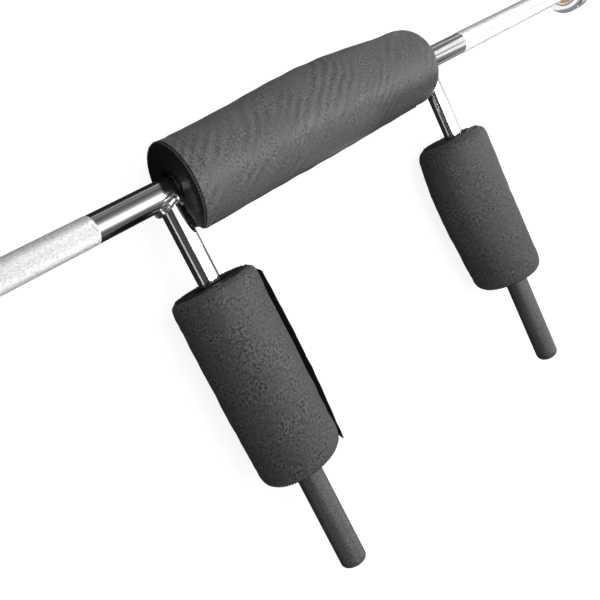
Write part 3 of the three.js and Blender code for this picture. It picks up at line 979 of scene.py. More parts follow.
    @classmethod
    def build_weld(cls) -> Tree:
        """A weld bead: a smooth root with overlapping ripples along the seam.

        Returns:
            The tree.
        """
        sketch, given, out = cls.begin("weld_bead", {
            "Ripples": 30, "Root": 0.0028, "Ripple": 0.003, "Seed": 3})
        line = sketch.node("GeometryNodeMeshToCurve", {"Mesh": given["Geometry"]}).outputs[0]
        section = sketch.node("GeometryNodeCurvePrimitiveCircle", {
            "Resolution": 12, "Radius": given["Root"]}).outputs[0]
        root = sketch.node("GeometryNodeCurveToMesh", {
            "Curve": line, "Profile Curve": section}).outputs[0]
        spots = sketch.node("GeometryNodeResampleCurve", {"Curve": line, "Count": given["Ripples"]},
                            mode="COUNT").outputs[0]
        growth = sketch.node("FunctionNodeRandomValue", {
            "Min": (0.8, 0.8, 0.7), "Max": (1.15, 1.15, 1.1), "Seed": given["Seed"]},
            data_type="FLOAT_VECTOR").outputs["Value"]
        tangent = sketch.node("GeometryNodeInputTangent").outputs[0]
        row = cls.beads(sketch, spots, (14, 8), given["Ripple"], sketch.product(given["Ripple"], 0.62),
                        tangent, growth)
        joined = sketch.node("GeometryNodeJoinGeometry")
        sketch.put(joined.inputs[0], root)
        sketch.put(joined.inputs[0], row)
        return cls.finish_tree(sketch, out, joined.outputs[0], given["Material"], True)


# Sub-assemblies


@dataclass
class BarShaft:
    """The straight bar: plain middle, two knurled zones and a journal at each end."""

    radius: float = SHAFT_RADIUS
    knurl_start: float = 324.0
    knurl_end: float = 632.4
    knurl_root: float = 14.96
    knurl_rise: float = 0.42
    knurl_around: int = 58
    knurl_along: int = 192
    core_under_knurl: float = 14.6
    shoulder: float = 652.4
    journal_radius: float = 12.5
    groove_radius: float = 11.0
    groove_start: float = 1075.4
    groove_end: float = 1078.0
    journal_end: float = 1082.0
    chamfer: float = 1.0

    def outline(self) -> Outline:
        """The shaft's outline from end to end.

        Returns:
            Points as (distance, radius).
        """
        edge = 0.4
        half = [
            (self.knurl_start, self.radius),
            (self.knurl_start + edge, self.core_under_knurl),
            (self.knurl_end - edge, self.core_under_knurl),
            (self.knurl_end, self.radius),
            (self.shoulder - self.chamfer, self.radius),
            (self.shoulder, self.radius - self.chamfer),
            (self.shoulder, self.journal_radius),
            (self.groove_start, self.journal_radius),
            (self.groove_start, self.groove_radius),
            (self.groove_end, self.groove_radius),
            (self.groove_end, self.journal_radius),
            (self.journal_end - self.chamfer, self.journal_radius),
            (self.journal_end, self.journal_radius - self.chamfer),
            (self.journal_end, 0.0),
        ]
        return [(-x, r) for x, r in reversed(half)] + half

    def build(self, shop: Workshop, trees: GrowthTrees) -> None:
        """Build and dress the shaft.

        Args:
            shop: The workshop.
            trees: The geometry trees.
        """
        shaft = shop.turned("bar_shaft_turned", broken_edges(self.outline(), 0.25), shop.placement())
        shop.hand_over(shaft, CHROME, "bar", "bar_shaft")
        length = self.knurl_end - self.knurl_start
        for side in Side:
            middle = side.sign * (self.knurl_start + length / 2) * MM
            shop.grow(f"{side.value}_knurled_zone", trees.knurl, {
                "Around": self.knurl_around, "Along": self.knurl_along, "Length": length * MM,
                "Root Radius": self.knurl_root * MM, "Rise": self.knurl_rise * MM,
                "Middle": (middle, 0.0, AXIS_HEIGHT * MM)}, KNURLED, "bar_shaft")


@dataclass
class PlateSleeve:
    """One turning sleeve with its collar and cap, and what holds it on the shaft."""

    side: Side
    start: float = 655.0
    end: float = 1095.0
    radius: float = 25.0
    bore: float = 18.0
    chamfer: float = 1.5
    collar_radius: float = 38.0
    collar_length: float = 30.0
    collar_bore: float = 25.3
    collar_chamfer: float = 2.0
    collar_sides: int = 128
    line_width: float = 1.6
    line_depth: float = 0.5
    cap_plug: float = 17.7
    cap_wall: float = 4.0
    cap_flange: float = 23.5
    cap_seat: float = 1095.3
    cap_thickness: float = 4.0
    cap_reach: float = 10.0
    cap_bevel: Span = (1.6, 2.4)
    dish_radii: Span = (14.0, 12.6)
    dish_depth: float = 1.2
    washer_start: float = 652.7
    washer_bore: float = 12.8
    washer_radius: float = 21.0
    washer_thickness: float = 2.0

    def sleeve_outline(self) -> Outline:
        """The sleeve tube's outline.

        Returns:
            Points as (distance, radius).
        """
        outline = [
            (self.start, self.bore), (self.start, self.radius - self.chamfer),
            (self.start + self.chamfer, self.radius), (self.end - self.chamfer, self.radius),
            (self.end, self.radius - self.chamfer), (self.end, self.bore),
        ]
        return broken_edges(outline, 0.5)

    def collar_outline(self) -> Outline:
        """The collar's outline, with a fine turned line at each third of its rim.

        Returns:
            Points as (distance, radius).
        """
        end = self.start + self.collar_length
        rim = self.collar_radius
        outline = [
            (self.start, self.collar_bore), (self.start, rim - self.collar_chamfer),
            (self.start + self.collar_chamfer, rim),
        ]
        for share in (1 / 3, 2 / 3):
            middle = self.start + share * self.collar_length
            outline += [
                (middle - self.line_width / 2, rim),
                (middle - self.line_width / 4, rim - self.line_depth),
                (middle + self.line_width / 4, rim - self.line_depth),
                (middle + self.line_width / 2, rim),
            ]
        outline += [
            (end - self.collar_chamfer, rim), (end, rim - self.collar_chamfer), (end, self.collar_bore),
        ]
        return broken_edges(outline, 0.7)

    def cap_outline(self) -> Outline:
        """The end cap's outline, dished in the middle of its face.

        Returns:
            Points as (distance, radius).
        """
        face = self.cap_seat + self.cap_thickness
        plug_end = self.end - self.cap_reach
        dish = face - self.dish_depth
        outline = [
            (self.cap_seat, 0.0), (self.cap_seat, self.cap_plug - self.cap_wall),
            (plug_end, self.cap_plug - self.cap_wall), (plug_end, self.cap_plug),
            (self.cap_seat, self.cap_plug), (self.cap_seat, self.cap_flange),
            (face - self.cap_bevel[0], self.cap_flange), (face, self.cap_flange - self.cap_bevel[1]),
            (face, self.dish_radii[0]), (dish, self.dish_radii[1]), (dish, 0.0),
        ]
        return broken_edges(outline, 0.5)

    def build(self, shop: Workshop) -> None:
        """Build and dress the sleeve's pieces.

        Args:
            shop: The workshop.
        """
        name = self.side.value
        place = shop.placement(turn=math.pi if self.side is Side.LEFT else 0.0)
        washer_end = self.washer_start + self.washer_thickness
        washer_outline = broken_edges([
            (self.washer_start, self.washer_bore), (self.washer_start, self.washer_radius),
            (washer_end, self.washer_radius), (washer_end, self.washer_bore)], 0.3)
        for piece, node, outline, finish, body in (
                ("sleeve_tube", "sleeve", self.sleeve_outline(), CHROME, self.side.body),
                ("collar_ring", "collar", self.collar_outline(), CHROME, self.side.body),
                ("end_cap", "sleeve_cap", self.cap_outline(), CAP_PLASTIC, self.side.body),
                ("shoulder_washer", "thrust_washer", washer_outline, BRONZE, "bar")):
            sides = self.collar_sides if piece == "collar_ring" else ROUND_SIDES
            made = shop.turned(f"{name}_{piece}", outline, place, sides)
            shop.hand_over(made, finish, body, f"{name}_{node}")
        for node in ("inner_bushing", "outer_bushing"):
            shop.dress_node(f"{name}_{node}", BRONZE)
        for node in ("retaining_washer", "snap_ring"):
            shop.dress_node(f"{name}_{node}", SPRING)


@dataclass
class PadShape:
    """The form of one pad, in its own millimetres along +X from its start."""

    name: str
    length: float
    core_radius: float
    mouth_radius: float
    mouth_lift: float
    middle_radius: float
    crown: float
    start_lateral: float
    end_lateral: float
    belly: float
    belly_degrees: float
    peak_share: float
    swell_power: float
    slit_degrees: float
    start_lean_up: float = 0.0
    end_lean_lateral: float = 0.0
    start_rounding: float = 5.0
    end_rounding: float = 8.0
    start_opening: float = 1.3
    end_opening: float = 1.3
    lip_rise: float = 0.0
    start_turned: bool = False
    belly_sharpness: float = 3.0
    settle: float = 0.0

    def __post_init__(self) -> None:
        """Lower the pad until its underside meets the floor, as its CAD solid does."""
        shares = np.linspace(0, 1, 60)[:, None]
        around = np.linspace(0, FULL_TURN, 180)[None, :]
        lowest = float(np.min(self.radius(shares, around) * np.sin(around)))
        self.settle = -AXIS_HEIGHT - 0.5 - lowest

    def swell(self, share: np.ndarray) -> np.ndarray:
        """How far the pad has swollen at a share of its length, from 0 at its ends to 1."""
        power = math.log(0.5) / math.log(self.peak_share)
        return np.sin(np.pi * np.clip(share, 0, 1) ** power) ** self.swell_power

    def radius(self, share: np.ndarray, angle: np.ndarray) -> np.ndarray:
        """The pad's radius about its own middle line.

        Args:
            share: Shares of the pad's length.
            angle: Angles from its lateral side, in radians.

        Returns:
            The radii in millimetres.
        """
        rise = self.swell(share)
        facing = np.maximum(0, np.cos(angle - math.radians(self.belly_degrees)))
        belly = self.belly * rise * facing ** self.belly_sharpness
        return self.middle_radius - self.crown * (1 - rise) + belly

    def lateral(self, share: np.ndarray) -> np.ndarray:
        """How far the pad's middle line is off its tube at a share of its length."""
        return self.start_lateral + (self.end_lateral - self.start_lateral) * np.clip(share, 0, 1)

    def lean(self, share: np.ndarray, y: np.ndarray, z: np.ndarray) -> np.ndarray:
        """How far points are shifted along the pad, because the pad's ends lean.

        Args:
            share: Shares of the pad's length.
            y: Lateral places from the tube's axis.
            z: Heights from the tube's axis.

        Returns:
            The shifts in millimetres.
        """
        up = (1 - share) * self.start_lean_up * (z - self.settle)
        lateral = share * self.end_lean_lateral * (y - self.lateral(share))
        return (up + lateral) / self.middle_radius


@dataclass
class CoverSurface:
    """The final radii of a pad's cover, for what is sewn to it or lies on it."""

    shape: PadShape
    distances: np.ndarray
    angles: np.ndarray
    radii: np.ndarray

    def point(self, distance: float, angle: float, offset: float) -> tuple[float, float, float]:
        """A point beside the cover.

        Args:
            distance: Distance along the pad.
            angle: Angle from its lateral side, in radians.
            offset: How far outside the cover.

        Returns:
            The point in the pad's millimetres.
        """
        spot = np.clip(np.interp(distance, self.distances, np.arange(len(self.distances))),
                       0, len(self.distances) - 1)
        low = int(spot)
        high = min(low + 1, len(self.distances) - 1)
        near, far = (
            float(np.interp(angle % FULL_TURN, self.angles[row] % FULL_TURN, self.radii[row],
                            period=FULL_TURN)) for row in (low, high))
        radius = near + (far - near) * (spot - low) + offset
        lateral = float(self.shape.lateral(np.array(distance / self.shape.length)))
        y = lateral + radius * math.cos(angle)
        z = max(radius * math.sin(angle) + self.shape.settle, FLOOR_CLEARANCE - AXIS_HEIGHT)
        share = np.clip(distance / self.shape.length, 0, 1)
        return distance + float(self.shape.lean(share, y, z)), y, z


@dataclass(frozen=True)
class Dent:
    """A small pucker pressed into a cover."""

    distance: float
    degrees: float
    depth: float
    length: float
    width: float


@dataclass(frozen=True)
class CoverRow:
    """One row of a cover's points, and which way the cloth faces there."""

    distance: float
    share: float
    draw_in: float
    along: float
    out: float
    zone: Zone

    def mirrored(self, length: float) -> "CoverRow":
        """The same row at the far end of a pad of this length."""
        return replace(self, distance=length - self.distance, along=-self.along)


@dataclass
class PadCover:
    """The sewn cover of a pad: woven body, plain end panels, bound rims and an open slit."""

    shape: PadShape
    place: Matrix
    dents: tuple[Dent, ...] = ()
    cloth: WovenFinish = COVER_CLOTH
    spacing: float = 4.5
    swell_room: float = 2.2
    swell_spread: float = 0.6
    relief_start: float = 4.0
    relief_run: float = 16.0
    panel_cap: float = 1.2
    pressure: float = 120.0
    slack_share: float = 0.02
    cloth_mass: float = 0.05
    stretch_stiffness: float = 0.8
    shear_stiffness: float = 0.4
    bending_stiffness: float = 0.03
    fill_frames: int = 20
    slack_waves: int = 26
    slack_depth: float = 0.32
    slack_start: float = 3.0
    slack_run: float = 12.0
    pucker_depth: float = 0.22
    pucker_count: int = 23
    pucker_start: float = 5.0
    pucker_run: float = 9.0
    slit_gap: float = 0.9
    opening_run: float = 42.0
    lip_reach: float = 14.0
    hem_depths: tuple[float, ...] = (7.0, 4.0, 1.6, 0.4)
    mouth_hem_depths: tuple[float, ...] = (6.0, 3.0, 1.0)
    panel_rows: int = 9
    rim_rows: int = 4
    cloth_thickness: float = 1.2
    binding_out: float = 0.25
    binding_along: float = 1.3
    stitches_proud: float = 0.2
    turned_stitches_proud: float = 0.9
    seed: int = 11

    def half_rows(self, rounding: float, turned: bool) -> list[CoverRow]:
        """The rows of the cover from its mouth to where the straight body starts.

        Args:
            rounding: How round the rim is.
            turned: Whether the panel's cloth goes round the rim, and not the body's.

        Returns:
            The rows, with shares from the mouth to the rim.
        """
        rows = [CoverRow(depth, 0.0, 0.0, 0.0, -1.0, Zone.HEM) for depth in self.mouth_hem_depths]
        for share in np.linspace(0.02, 1.0, self.panel_rows):
            rows.append(CoverRow(0.0, float(share), rounding, -1.0, 0.0, Zone.PANEL))
        for k in range(1, self.rim_rows + 1):
            turn = math.pi / 2 * k / self.rim_rows
            zone = Zone.PANEL if turned and k < self.rim_rows else Zone.BODY
            rows.append(CoverRow(rounding * (1 - math.cos(turn)), 1.0, rounding * (1 - math.sin(turn)),
                                 -math.cos(turn), math.sin(turn), zone))
        return rows

    def rows(self) -> list[CoverRow]:
        """All rows of the cover, from mouth to mouth.

        Returns:
            The rows.
        """
        shape = self.shape
        near = self.half_rows(shape.start_rounding, shape.start_turned)
        far = self.half_rows(shape.end_rounding, False)
        straight = shape.length - shape.start_rounding - shape.end_rounding
        count = int(round(straight / self.spacing))
        middle = [
            CoverRow(shape.start_rounding + straight * k / count, 1.0, 0.0, 0.0, 1.0, Zone.BODY)
            for k in range(1, count)]
        return near + middle + [row.mirrored(shape.length) for row in reversed(far)]

    def relief(self, distance: float) -> float:
        """How far the body starts inside its final form, so that the pressure fills it out."""
        edge = min(distance, self.shape.length - distance)
        return self.swell_room * min(1.0, max(0.0, (edge - self.relief_start) / self.relief_run))

    def room(self, plan: list[CoverRow]) -> np.ndarray:
        """The relief of each row, which is 0 off the body."""
        return np.array([self.relief(row.distance) if row.zone is Zone.BODY else 0.0 for row in plan])

    def opening(self, distance: float) -> float:
        """Half the width by which the slit gapes at a distance along the pad."""
        near = max(0.0, 1 - distance / self.opening_run) ** 2
        far = max(0.0, 1 - (self.shape.length - distance) / self.opening_run) ** 2
        return self.slit_gap + self.shape.start_opening * near + self.shape.end_opening * far

    def line(self, row: CoverRow) -> tuple[np.ndarray, np.ndarray]:
        """The points of one row before the cover fills out, without its hems.

        Args:
            row: The row.

        Returns:
            The points, and their angles from the pad's lateral side.
        """
        shape, x = self.shape, row.distance
        part = np.array(x / shape.length)
        reach = (1 - row.share) * shape.mouth_radius + row.share * (shape.middle_radius - row.draw_in)
        columns = int(round(FULL_TURN * shape.middle_radius / self.spacing))
        slit = math.radians(shape.slit_degrees)
        gap = self.opening(x) * (0.6 + 0.7 * row.share) / reach
        angles = slit + gap + (FULL_TURN - 2 * gap) * np.linspace(0, 1, columns)
        radius = shape.radius(part, angles) - row.draw_in
        if row.zone is Zone.BODY:
            radius = radius - self.relief(x)
        y = ((1 - row.share) * shape.mouth_radius * np.cos(angles)
             + row.share * (float(shape.lateral(part)) + radius * np.cos(angles)))
        z = ((1 - row.share) * (shape.mouth_radius * np.sin(angles) + shape.mouth_lift)
             + row.share * (radius * np.sin(angles) + shape.settle))
        along = x + shape.lean(part, y, z)
        if row.zone is Zone.PANEL and x < shape.length / 2:
            from_lip = np.minimum(angles - angles[0], angles[-1] - angles) * reach
            lift = np.exp(-(from_lip / self.lip_reach) ** 2) * (1 - row.share ** 4)
            along = along - shape.lip_rise * lift
        return np.stack([along, y, z], 1), angles

    def grid(self, plan: list[CoverRow]) -> tuple[np.ndarray, np.ndarray, np.ndarray]:
        """The cover's points before it fills out, with their weave coordinates and pins.

        Args:
            plan: The cover's rows.

        Returns:
            Points, weave coordinates in metres and pin weights, by row and column.
        """
        shape = self.shape
        slit = math.radians(shape.slit_degrees)
        hem = len(self.hem_depths)
        depths = np.array(self.hem_depths)
        points, weave, pins = [], [], []
        run = 0.0
        for row in plan:
            line, angles = self.line(row)
            normals = np.stack([np.full_like(angles, row.along), row.out * np.cos(angles),
                                row.out * np.sin(angles)], 1)
            first = line[0] - normals[0] * depths[:, None]
            final = line[-1] - normals[-1] * depths[::-1, None]
            points.append(np.concatenate([first, line, final]))
            if len(points) > 1:
                middle = points[-1].shape[0] // 2
                run += float(np.linalg.norm(points[-1][middle] - points[-2][middle]))
            around = (angles - slit) * shape.middle_radius
            u = np.concatenate([around[0] - depths, around, around[-1] + depths[::-1]]) * MM
            weave.append(np.stack([u, np.full_like(u, run * MM)], 1))
            rim = row.share == 1.0 and row.out > 0 and row.along
            seam = row.zone is Zone.HEM or row.share < 0.05 or rim
            pin = np.zeros(len(u))
            pin[:hem + 1] = pin[-hem - 1:] = 1
            pins.append(np.ones(len(u)) if seam else pin)
        return np.array(points), np.array(weave), np.array(pins)

    @staticmethod
    def grid_faces(rows: int, columns: int) -> list[tuple[int, int, int, int]]:
        """The faces of a grid of points, pointing out of the pad.

        Args:
            rows: Number of rows.
            columns: Points in each row.

        Returns:
            Corner numbers of each face.
        """
        return [
            (i * columns + k, i * columns + k + 1, (i + 1) * columns + k + 1, (i + 1) * columns + k)
            for i in range(rows - 1) for k in range(columns - 1)]

    def filled(self, shop: Workshop, points: np.ndarray, pins: np.ndarray) -> np.ndarray:
        """Let cloth that is cut with a little slack fill out under pressure, held by its seams.

        Args:
            shop: The workshop.
            points: Points by row and column.
            pins: Pin weights by row and column.

        Returns:
            The moved points.
        """
        faces = self.grid_faces(*points.shape[:2])
        cloth = shop.mesh(self.shape.name + "_cloth", points, faces, self.place, None)
        group = cloth.vertex_groups.new(name="seams")
        group.add([int(i) for i in np.nonzero(pins.reshape(-1) > 0)[0]], 1.0, "REPLACE")
        modifier = cloth.modifiers.new("cloth", "CLOTH")
        settings = modifier.settings
        settings.quality = 6
        settings.mass = self.cloth_mass
        settings.tension_stiffness = settings.compression_stiffness = self.stretch_stiffness
        settings.shear_stiffness = self.shear_stiffness
        settings.bending_stiffness = self.bending_stiffness
        settings.shrink_min = -self.slack_share
        settings.use_pressure = True
        settings.uniform_pressure_force = self.pressure
        settings.vertex_group_mass = "seams"
        settings.effector_weights.gravity = 0
        modifier.collision_settings.use_collision = False
        scene = bpy.context.scene
        for step in range(1, self.fill_frames + 1):
            scene.frame_set(step)
        depsgraph = bpy.context.evaluated_depsgraph_get()
        moved = shop.corners(cloth.evaluated_get(depsgraph).to_mesh())
        scene.frame_set(1)
        bpy.data.objects.remove(cloth)
        return shop.placed(moved, self.place.inverted()).reshape(points.shape)

    def outward(self, points: np.ndarray) -> np.ndarray:
        """Directions across the pad's middle line to points of its cover."""
        across = points.copy()
        across[..., 0] = 0
        across[..., 2] -= self.shape.settle
        return across / np.maximum(np.linalg.norm(across, axis=-1, keepdims=True), 1e-9)

    def swollen(self, points: np.ndarray, moved: np.ndarray, plan: list[CoverRow]) -> np.ndarray:
        """Take the cloth's movement, held near the form that the photograph shows.

        Args:
            points: The points before the cloth filled out.
            moved: The points after.
            plan: The cover's rows.

        Returns:
            The swollen points.
        """
        room = self.room(plan)
        body = np.array([row.zone is Zone.BODY for row in plan])
        full = room > 0.98 * self.swell_room
        step = moved - points
        outward = self.outward(points)
        lift = np.sum(step * outward, axis=2)
        mean = float(np.mean(lift[full]))
        log.info("%s: the cloth filled out by %.2f mm", self.shape.name, mean)
        uneven = np.clip(lift - mean, -self.swell_spread, self.swell_spread)
        shaped = room[:, None] * (1 + uneven / max(abs(mean), 1.0))
        size = np.linalg.norm(step, axis=2, keepdims=True)
        panel = step * np.minimum(1.0, self.panel_cap / np.maximum(size, 1e-9))
        return points + np.where(body[:, None, None], outward * shaped[:, :, None], panel)

    def sculpted(self, points: np.ndarray, swollen: np.ndarray, plan: list[CoverRow]) -> np.ndarray:
        """Add slack, puckers and dents to the filled cover and rest it on the floor.

        Args:
            points: The points before the cloth filled out.
            swollen: The points after.
            plan: The cover's rows.

        Returns:
            The final points.
        """
        draw = np.random.default_rng(self.seed)
        rows, columns = points.shape[:2]
        distances = np.array([row.distance for row in plan])[:, None]
        along = distances / self.shape.length
        around = np.linspace(0, 1, columns)[None, :]
        slack = np.zeros((rows, columns))
        for _ in range(self.slack_waves):
            waves_along, waves_around = draw.uniform(1.0, 11.0), draw.integers(1, 9)
            phase = draw.uniform(0, FULL_TURN)
            slack += np.sin(FULL_TURN * (waves_along * along + waves_around * around) + phase)
        slack /= self.slack_waves ** 0.5
        edge = np.minimum(distances, self.shape.length - distances)
        puckers = np.sin(FULL_TURN * around * self.pucker_count + 2.1 * np.sin(FULL_TURN * around * 5))
        near_rim = np.exp(-np.maximum(0.0, edge - self.pucker_start) / self.pucker_run)
        puckers = puckers * near_rim * (edge > self.pucker_start - 0.1)
        slack = slack * np.clip((edge - self.slack_start) / self.slack_run, 0, 1)
        lift = self.slack_depth * slack + self.pucker_depth * puckers
        turns = np.degrees(np.arctan2(points[:, :, 2] - self.shape.settle, points[:, :, 1]))
        for dent in self.dents:
            aside = (turns - dent.degrees + 180) % 360 - 180
            aside = np.radians(aside) * self.shape.middle_radius / dent.width
            beyond = (distances - dent.distance) / dent.length
            lift = lift - dent.depth * np.exp(-aside ** 2 - beyond ** 2)
        body = np.array([row.zone is Zone.BODY for row in plan])[:, None]
        final = swollen + self.outward(swollen) * (lift * body)[:, :, None]
        final[:, :, 2] = np.maximum(final[:, :, 2], FLOOR_CLEARANCE - AXIS_HEIGHT)
        return final

    def sew(self, shop: Workshop, name: str, points: np.ndarray, weave: np.ndarray,
            finish: Finish) -> None:
        """Make one cloth panel of the cover from some of its rows.

        Args:
            shop: The workshop.
            name: The piece's name.
            points: The panel's points by row and column.
            weave: Their weave coordinates.
            finish: Its finish.
        """
        panel = shop.mesh(name, points, self.grid_faces(*points.shape[:2]), self.place, None)
        layer = panel.data.uv_layers.new(name="weave")
        corners = np.zeros(len(panel.data.loops), int)
        panel.data.loops.foreach_get("vertex_index", corners)
        layer.data.foreach_set("uv", weave.reshape(-1, 2)[corners].reshape(-1))
        smooth = panel.modifiers.new("subdivide", "SUBSURF")
        smooth.levels = smooth.render_levels = 1
        thick = panel.modifiers.new("thickness", "SOLIDIFY")
        thick.thickness = self.cloth_thickness * MM
        thick.offset = -1.0
        panel = shop.baked(panel)
        rest = shop.corners(panel.data)
        rest[:, 2] = np.maximum(rest[:, 2], FLOOR_CLEARANCE * MM)
        panel.data.vertices.foreach_set("co", rest.reshape(-1))
        shop.hand_over(panel, finish, "bar", f"{self.shape.name}_cover")

    def build(self, shop: Workshop, trees: GrowthTrees) -> CoverSurface:
        """Build and dress the cover.

        Args:
            shop: The workshop.
            trees: The geometry trees.

        Returns:
            The surface of its body.
        """
        plan = self.rows()
        points, weave, pins = self.grid(plan)
        swollen = self.swollen(points, self.filled(shop, points, pins), plan)
        final = self.sculpted(points, swollen, plan)
        name = self.shape.name
        body_rows = [i for i, row in enumerate(plan) if row.zone is Zone.BODY]
        first, last = body_rows[0] - 1, body_rows[-1] + 1
        for label, part, finish in (("cover_body", slice(first, last + 1), self.cloth),
                                    ("near_panel", slice(first + 1), PANEL_CLOTH),
                                    ("far_panel", slice(last, None), PANEL_CLOTH)):
            self.sew(shop, f"{name}_{label}", final[part], weave[part], finish)
        hem = len(self.hem_depths)
        thread = SEAM_THREAD if self.shape.start_turned else BINDING
        self.bind_rim(shop, trees, f"{name}_near", final[first, hem:-hem], 1, thread)
        self.bind_rim(shop, trees, f"{name}_far", final[last - 1, hem:-hem], -1, BINDING)
        kept = [i for i in body_rows if plan[i].draw_in == 0.0]
        distances = np.array([plan[i].distance for i in kept])
        middle = self.shape.lateral(distances / self.shape.length)
        y = final[kept, hem:-hem, 1] - middle[:, None]
        z = final[kept, hem:-hem, 2] - self.shape.settle
        return CoverSurface(self.shape, distances, np.arctan2(z, y), np.hypot(y, z))

    def bind_rim(self, shop: Workshop, trees: GrowthTrees, name: str, rim: np.ndarray, sign: int,
                 thread: Finish) -> None:
        """Bind one rim of the cover with a cord and a row of stitches.

        Args:
            shop: The workshop.
            trees: The geometry trees.
            name: The start of the pieces' names.
            rim: The rim's points in the pad's millimetres.
            sign: 1 where the body lies towards +X of the rim, and -1 on the far rim.
            thread: The stitches' finish.
        """
        outward = self.outward(rim)
        floor = FLOOR_CLEARANCE + 0.9 - AXIS_HEIGHT
        node = f"{self.shape.name}_cover"
        cord = rim + outward * self.binding_out + np.array([sign * self.binding_along, 0.0, 0.0])
        cord[:, 2] = np.maximum(cord[:, 2], floor)
        shop.grow(f"{name}_rim_binding", trees.cord, {"Radius": 0.0008, "Sides": 8}, BINDING, node,
                  shop.placed(cord, self.place))
        proud = self.turned_stitches_proud if thread is SEAM_THREAD else self.stitches_proud
        row = rim - outward * 0.1 - np.array([sign * proud, 0.0, 0.0])
        row[:, 2] = np.maximum(row[:, 2], floor - 0.5)
        shop.grow(f"{name}_rim_stitches", trees.stitches, {
            "Spacing": 0.0036, "Length": 0.003, "Thread": 0.0005}, thread, node,
            shop.placed(row, self.place))


@dataclass
class FoamRoll:
    """The slit foam roll inside a cover."""

    shape: PadShape
    place: Matrix
    inset: float = 4.0
    end_gap: float = 1.8
    rounding: float = 4.0
    rounding_run: float = 6.0
    floor_gap: float = 2.2
    mouth_depth: float = 14.0
    stations: int = 24
    columns: int = 48
    gap: float = 1.4

    def open_turn(self, radius: float) -> np.ndarray:
        """The angles of a turn at a radius, which leaves the slit open."""
        slit, gap = math.radians(self.shape.slit_degrees), self.gap / radius
        return np.linspace(slit + gap, slit + FULL_TURN - gap, self.columns)

    def build(self, shop: Workshop) -> None:
        """Build and dress the roll.

        Args:
            shop: The workshop.
        """
        shape = self.shape
        start, end = self.end_gap, shape.length - self.end_gap
        sections = []
        for k in range(self.stations + 1):
            x = start + (end - start) * (0.5 - 0.5 * math.cos(math.pi * k / self.stations))
            edge = min(x - start, end - x)
            draw = self.rounding * (1 - math.sin(min(1.0, edge / self.rounding_run) * math.pi / 2))
            flare = max(0.0, 1 - edge / self.mouth_depth)
            bore = shape.core_radius + 0.5 + (shape.mouth_radius - shape.core_radius - 0.8) * flare
            angles, inner = self.open_turn(shape.middle_radius), self.open_turn(bore)[::-1]
            share = np.array(x / shape.length)
            radius = shape.radius(share, angles) - self.inset - draw
            y = float(shape.lateral(share)) + radius * np.cos(angles)
            z = np.maximum(radius * np.sin(angles) + shape.settle, self.floor_gap - AXIS_HEIGHT)
            y = np.concatenate([y, bore * np.cos(inner)])
            z = np.concatenate([z, bore * np.sin(inner)])
            sections.append(np.stack([x + shape.lean(share, y, z), y, z], 1))
        points, faces = skin_sections(np.array(sections))
        faces = [tuple(reversed(face)) for face in faces]
        roll = shop.mesh(f"{shape.name}_foam_roll", points, faces, self.place)
        shop.hand_over(roll, PAD_FOAM, "bar", f"{shape.name}_foam")


@dataclass
class ClosureFlap:
    """The closure tape along a pad's slit, with a tail that may stand off the pad."""

    shape: PadShape
    place: Matrix
    start_degrees: float
    end_degrees: float
    start_inset: float
    end_inset: float
    start_tail: float = 0.0
    end_tail: float = 0.0
    tail_bulge: float = 0.0
    start_lag: float = 0.0
    end_lag: float = 0.0
    thickness: float = 1.5
    lift: float = 0.25
    spacing: float = 4.0
    ripple: float = 0.5

    def line(self, surface: CoverSurface, distance: float, offset: float) -> np.ndarray:
        """One long face of the flap across the pad, out to the tip of its tail.

        Args:
            surface: The cover that it lies on.
            distance: Distance along the pad.
            offset: How far outside the cover.

        Returns:
            The points.
        """
        low, high = math.radians(self.start_degrees), math.radians(self.end_degrees)
        steps = 2 + int((high - low) * self.shape.middle_radius / self.spacing)
        points = [np.array(surface.point(distance, angle, offset))
                  for angle in np.linspace(low, high, steps)]
        if self.start_tail > 0:
            span = self.shape.length - self.start_inset - self.end_inset
            share = min(1.0, max(0.0, (distance - self.start_inset) / span))
            tail = (self.start_tail + (self.end_tail - self.start_tail) * share
                    + self.tail_bulge * math.sin(math.pi * share))
            tangent = np.array([0.0, -math.sin(high), math.cos(high)])
            outward = np.array([0.0, math.cos(high), math.sin(high)])
            lag = self.start_lag + (self.end_lag - self.start_lag) * share
            base = points[-1]
            pieces = int(self.start_tail / self.spacing)
            for k in range(1, pieces + 1):
                t = k / pieces
                wave = self.ripple * t * math.sin(2.4 * math.pi * share + 1.1 * t)
                points.append(base + tangent * tail * t + outward * wave
                              + np.array([lag * t, 0.0, 0.0]))
        return np.array(points)

    def build(self, shop: Workshop, trees: GrowthTrees, surface: CoverSurface) -> None:
        """Build and dress the flap and its edge stitches.

        Args:
            shop: The workshop.
            trees: The geometry trees.
            surface: The cover that it lies on.
        """
        first, last = self.start_inset, self.shape.length - self.end_inset
        count = int((last - first) / self.spacing)
        sections = []
        for distance in np.linspace(first, last, count + 1):
            inside = self.line(surface, distance, self.lift)
            outside = self.line(surface, distance, self.lift + self.thickness)
            sections.append(np.concatenate([inside, outside[::-1]]))
        points, faces = skin_sections(np.array(sections))
        flap = shop.mesh(f"{self.shape.name}_tape_flap", points, faces, self.place, 50.0)
        rounding = flap.modifiers.new("rounding", "BEVEL")
        rounding.width = 0.0005
        rounding.segments = 2
        rounding.limit_method = "ANGLE"
        flap = shop.baked(flap)
        flap.data.set_sharp_from_angle(angle=math.radians(50))
        shop.hand_over(flap, TAPE, "bar", f"{self.shape.name}_closure_flap")
        outer = [self.line(surface, distance, self.lift + self.thickness + 0.1)
                 for distance in np.linspace(first + 3, last - 3, count)]
        for label, column in (("root", 1), ("tip", -2)):
            row = np.array([line[column] for line in outer])
            shop.grow(f"{self.shape.name}_flap_{label}_stitches", trees.stitches, {
                "Spacing": 0.0042, "Length": 0.003, "Thread": 0.0004}, BINDING,
                f"{self.shape.name}_closure_flap", shop.placed(row, self.place))


